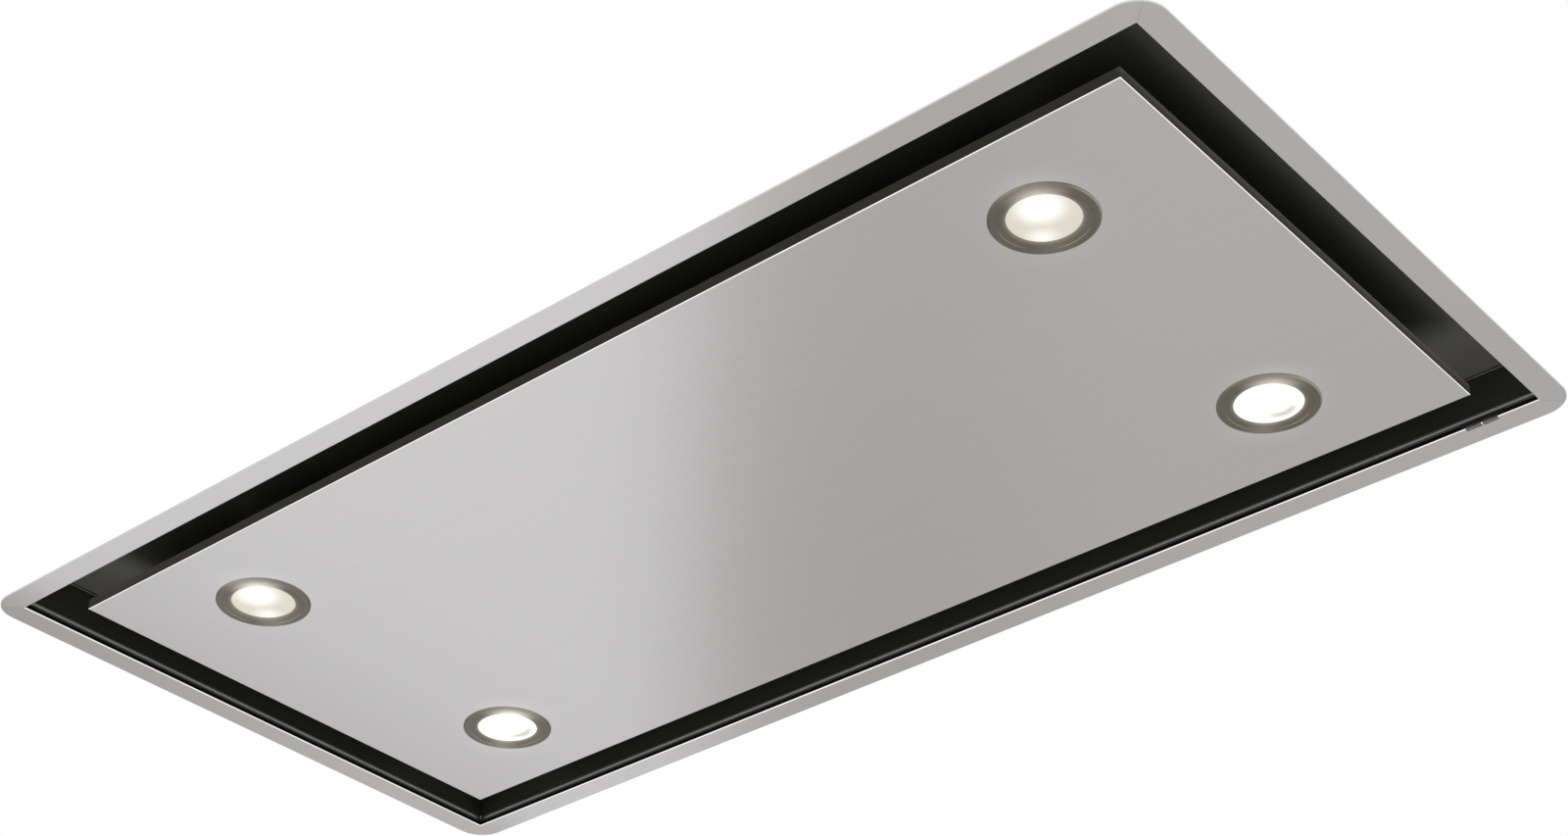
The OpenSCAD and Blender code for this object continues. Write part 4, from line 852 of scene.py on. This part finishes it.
screws = [screw(HINGE_X * a + HINGE_SCREW_X * b, LEAF_Y, LEAF_Z) for a, b in CORNERS]
repeat("leaf_screws", "pan_head", SMALL_SCREW, screws, "hardware_steel", "panel")
rivets = [place(HINGE_X * a + STRIKE_RIVET_X * b, CATCH_Y, STRIKE_Z) for a, b in CORNERS]
repeat("strike_rivets", "dome", SMALL_RIVET, rivets, "hardware_steel", "panel")
welds = [place(x, STIFFENER_Y * a + WELD_Y * b, WELD_Z)
         for x in range(-WELD_END, WELD_END + 1, WELD_STEP) for a, b in CORNERS]
repeat("spot_welds", "weld", WELD, welds, "galvanised_steel", "panel")
for side, body in zip(SIDES, ("left_latch", "right_latch")):
    grips = [place(FILTER_X * side, GRIP_Y, z, "-Y") for z in GRIP_RIBS_Z]
    repeat(body + "_ribs", "rib", LATCH_RIB, grips, "latch_black", body)

# Filter nets: three layers of strands, each a third of a row further on

NET_LAYERS_Z = (36.2, 39.0, 41.8)
NET_BENDS, NET_STEP, ROW_PITCH, ROWS = 48, 6.0, 3.0, 77
STRAND_W, STRAND_T = 0.8, 0.6


def filter_net(side, node):
    """The net of one filter, in the place of its plain node."""
    points, phases = [], []
    for layer, z in enumerate(NET_LAYERS_Z):
        for row in range(ROWS):
            shift = ROW_PITCH * (layer - 1) / 3
            points.append((side * FILTER_X, (row - (ROWS - 1) / 2) * ROW_PITCH + shift, z))
            phases.append(float(row + layer))
    net = grow(node.replace("mesh", "net"), points, "phase", "FLOAT", phases, expanded_net,
               {"Bends": NET_BENDS, "Step": NET_STEP * MM, "Swing": ROW_PITCH / 2 * MM,
                "Strand width": STRAND_W * MM, "Strand thickness": STRAND_T * MM,
                "Finish": finishes["filter_net"].material})
    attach(net, "hood")
    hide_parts(node)


filter_net(-1, "filter_mesh_left")
filter_net(1, "filter_mesh_right")

for form in forms.values():
    bpy.data.objects.remove(form)

# Ceiling

# Half sizes in metres of the cut-out and of the board, the heights of its faces, its clouds' scale
CUT_X, CUT_Y, BOARD = 0.49, 0.24, 4.0
BOARD_LOW, BOARD_HIGH = 1.42 * MM, 12.5 * MM
BOARD_CLOUDS = 3.0


def board_finish():
    """The board's upper side and edges: pale and dull."""
    pale = Finish("ceiling_pale")
    clouds = pale.noise(pale.position, BOARD_CLOUDS)
    pale.set(Base_Color=pale.tint(grey(0.86), clouds, depth=0.01), Roughness=0.9)
    return pale.material


def underside_finish():
    """Plain white to the camera and to what mirrors or refracts it, and matt to all other light."""
    white = Finish("ceiling_white")
    rays = white.node("ShaderNodeLightPath").outputs
    seen = white.most(white.most(rays["Is Camera Ray"], rays["Is Glossy Ray"]),
                      rays["Is Transmission Ray"])
    matt = white.node("ShaderNodeBsdfDiffuse", {"Color": (0.8, 0.8, 0.8, 1.0)})
    plain = white.node("ShaderNodeEmission", {"Color": (1.0, 1.0, 1.0, 1.0), "Strength": 1.0})
    pick = white.node("ShaderNodeMixShader", {0: seen, 1: matt.outputs[0], 2: plain.outputs[0]})
    white.put(white.output.inputs["Surface"], pick.outputs[0])
    white.tree.nodes.remove(white.bsdf)
    return white.material


def board_shape():
    """The board with its cut-out: its corners, the faces of its underside, and its other faces."""
    verts, under, others = [], [], []
    for z in (BOARD_LOW, BOARD_HIGH):
        for x, y in ((BOARD, BOARD), (CUT_X, CUT_Y)):
            verts += [(-x, -y, z), (x, -y, z), (x, y, z), (-x, y, z)]
    for k in range(4):
        n = (k + 1) % 4
        under.append([k, 4 + k, 4 + n, n])
        others += [[8 + k, 8 + n, 12 + n, 12 + k], [k, n, 8 + n, 8 + k], [4 + k, 12 + k, 12 + n, 4 + n]]
    return verts, under, others


verts, under, others = board_shape()
mesh = bpy.data.meshes.new("ceiling")
mesh.from_pydata(verts, [], under + others)
mesh.materials.append(underside_finish())
mesh.materials.append(board_finish())
for face in range(len(under), len(under) + len(others)):
    mesh.polygons[face].material_index = 1
ceiling = bpy.data.objects.new("ceiling", mesh)
bpy.context.scene.collection.objects.link(ceiling)

# Light

# The plain level of the room, and how much brighter it gets from the horizon upwards
ROOM_LEVEL, ABOVE_GAIN, ABOVE_RISE = 0.64, 0.3, (0.0, 25.0)
# Soft boxes to the camera's left and right: bearing, half width in degrees, and gain
SOFT_BOXES = ((-133.0, 38.0, 1.3), (48.0, 38.0, 1.15))
# Width of their soft edges either way, and how high the lower and the upper one lie
BOX_EDGE, BOX_LOWER_RISE, BOX_UPPER_RISE = 10, (-70.0, -55.0), (-22.0, -8.0)
# The window that the steel mirrors: its right edge is upright, its left one runs along the hood
WINDOW_GAIN, WINDOW_RIGHT, WINDOW_LEFT = 0.305, (130.2, 134.0), (160.0, 172.0)
WINDOW_REACH = (-1.6, -1.31)
# The wall beyond the window: brighter than the room at low bearings, darker at high ones
BEYOND_REACH, BEYOND_FADE, BEYOND_FROM = (-1.66, -1.58), (138.0, 149.0), (125.0, 132.0)
BEYOND_GAIN = 0.1
# A dim stretch beside the window, and the wall's shading from low to high
DIM_AT, DIM_HALF, DIM_GAIN = 127.0, 7.0, -0.045
LOW_TO_HIGH, LOW_GAIN, HIGH_GAIN = (-42.0, -29.0), 0.02, -0.045
# Least share of the way down at which reach is still worked out
LEAST_DOWN = 0.05

world = bpy.data.worlds.new("studio")
world.use_nodes = True
bpy.context.scene.world = world
sky = Graph(world.node_tree)
way = sky.split(sky.node("ShaderNodeTexCoord").outputs["Generated"])
azimuth = sky.bearing(way[0], way[1])
rise = sky.times(sky.math("ARCSINE", way[2]), TO_DEGREES)
# How far along X a ray has gone when it is one unit down
reach = sky.math("DIVIDE", way[0], sky.most(sky.times(way[2], -1.0), LEAST_DOWN))


def soft_box(centre, half, gain):
    """A soft box low over the floor, as wide as twice half in degrees."""
    wide = sky.ramp(sky.apart(azimuth, centre), half - BOX_EDGE, half + BOX_EDGE, gain, 0.0)
    return sky.times(wide, sky.times(sky.rising(rise, *BOX_LOWER_RISE), sky.falling(rise, *BOX_UPPER_RISE)))


window = sky.times(sky.ramp(azimuth, *WINDOW_RIGHT, 0.0, WINDOW_GAIN), sky.falling(azimuth, *WINDOW_LEFT))
window = sky.times(window, sky.rising(reach, *WINDOW_REACH))
beyond = sky.times(sky.falling(reach, *BEYOND_REACH), sky.times(
    sky.ramp(azimuth, *BEYOND_FADE, BEYOND_GAIN, -BEYOND_GAIN), sky.rising(azimuth, *BEYOND_FROM)))
dim = sky.add(sky.times(sky.bell(azimuth, DIM_AT, DIM_HALF), DIM_GAIN),
              sky.ramp(rise, *LOW_TO_HIGH, LOW_GAIN, HIGH_GAIN))
above = sky.ramp(rise, *ABOVE_RISE, 0.0, ABOVE_GAIN)
level = ROOM_LEVEL
for light in (beyond, dim, above, *(soft_box(*box) for box in SOFT_BOXES)):
    level = sky.add(level, light)
room = sky.node("ShaderNodeBackground", {"Color": (1.0, 1.0, 1.0, 1.0), "Strength": level})
daylight = sky.node("ShaderNodeBackground", {"Color": (1.0, 1.0, 1.09, 1.0), "Strength": window})
both = sky.node("ShaderNodeAddShader", {0: room.outputs[0], 1: daylight.outputs[0]})
sky.node("ShaderNodeOutputWorld", {"Surface": both.outputs[0]})

# Camera, as worked out from the trim's four outer edges in the photograph

EYE = Vector((1.04374, -1.20172, -1.01586))
BACKWARD, ROUGHLY_UP = Vector((0.5289, -0.6325, -0.5659)), Vector((0.3634, -0.4338, 0.8245))

camera = bpy.data.cameras.new("camera")
camera.sensor_width = 36.0
camera.lens = 63.3
camera.shift_x, camera.shift_y = 0.0012, -0.0001
camera.clip_end = 50.0
eye = bpy.data.objects.new("camera", camera)
back = BACKWARD.normalized()
right = ROUGHLY_UP.cross(back).normalized()
upward = back.cross(right)
eye.matrix_world = Matrix.Translation(EYE) @ Matrix((right, upward, back)).transposed().to_4x4()
bpy.context.scene.collection.objects.link(eye)
bpy.context.scene.camera = eye
bpy.context.scene.view_settings.view_transform = "Standard"
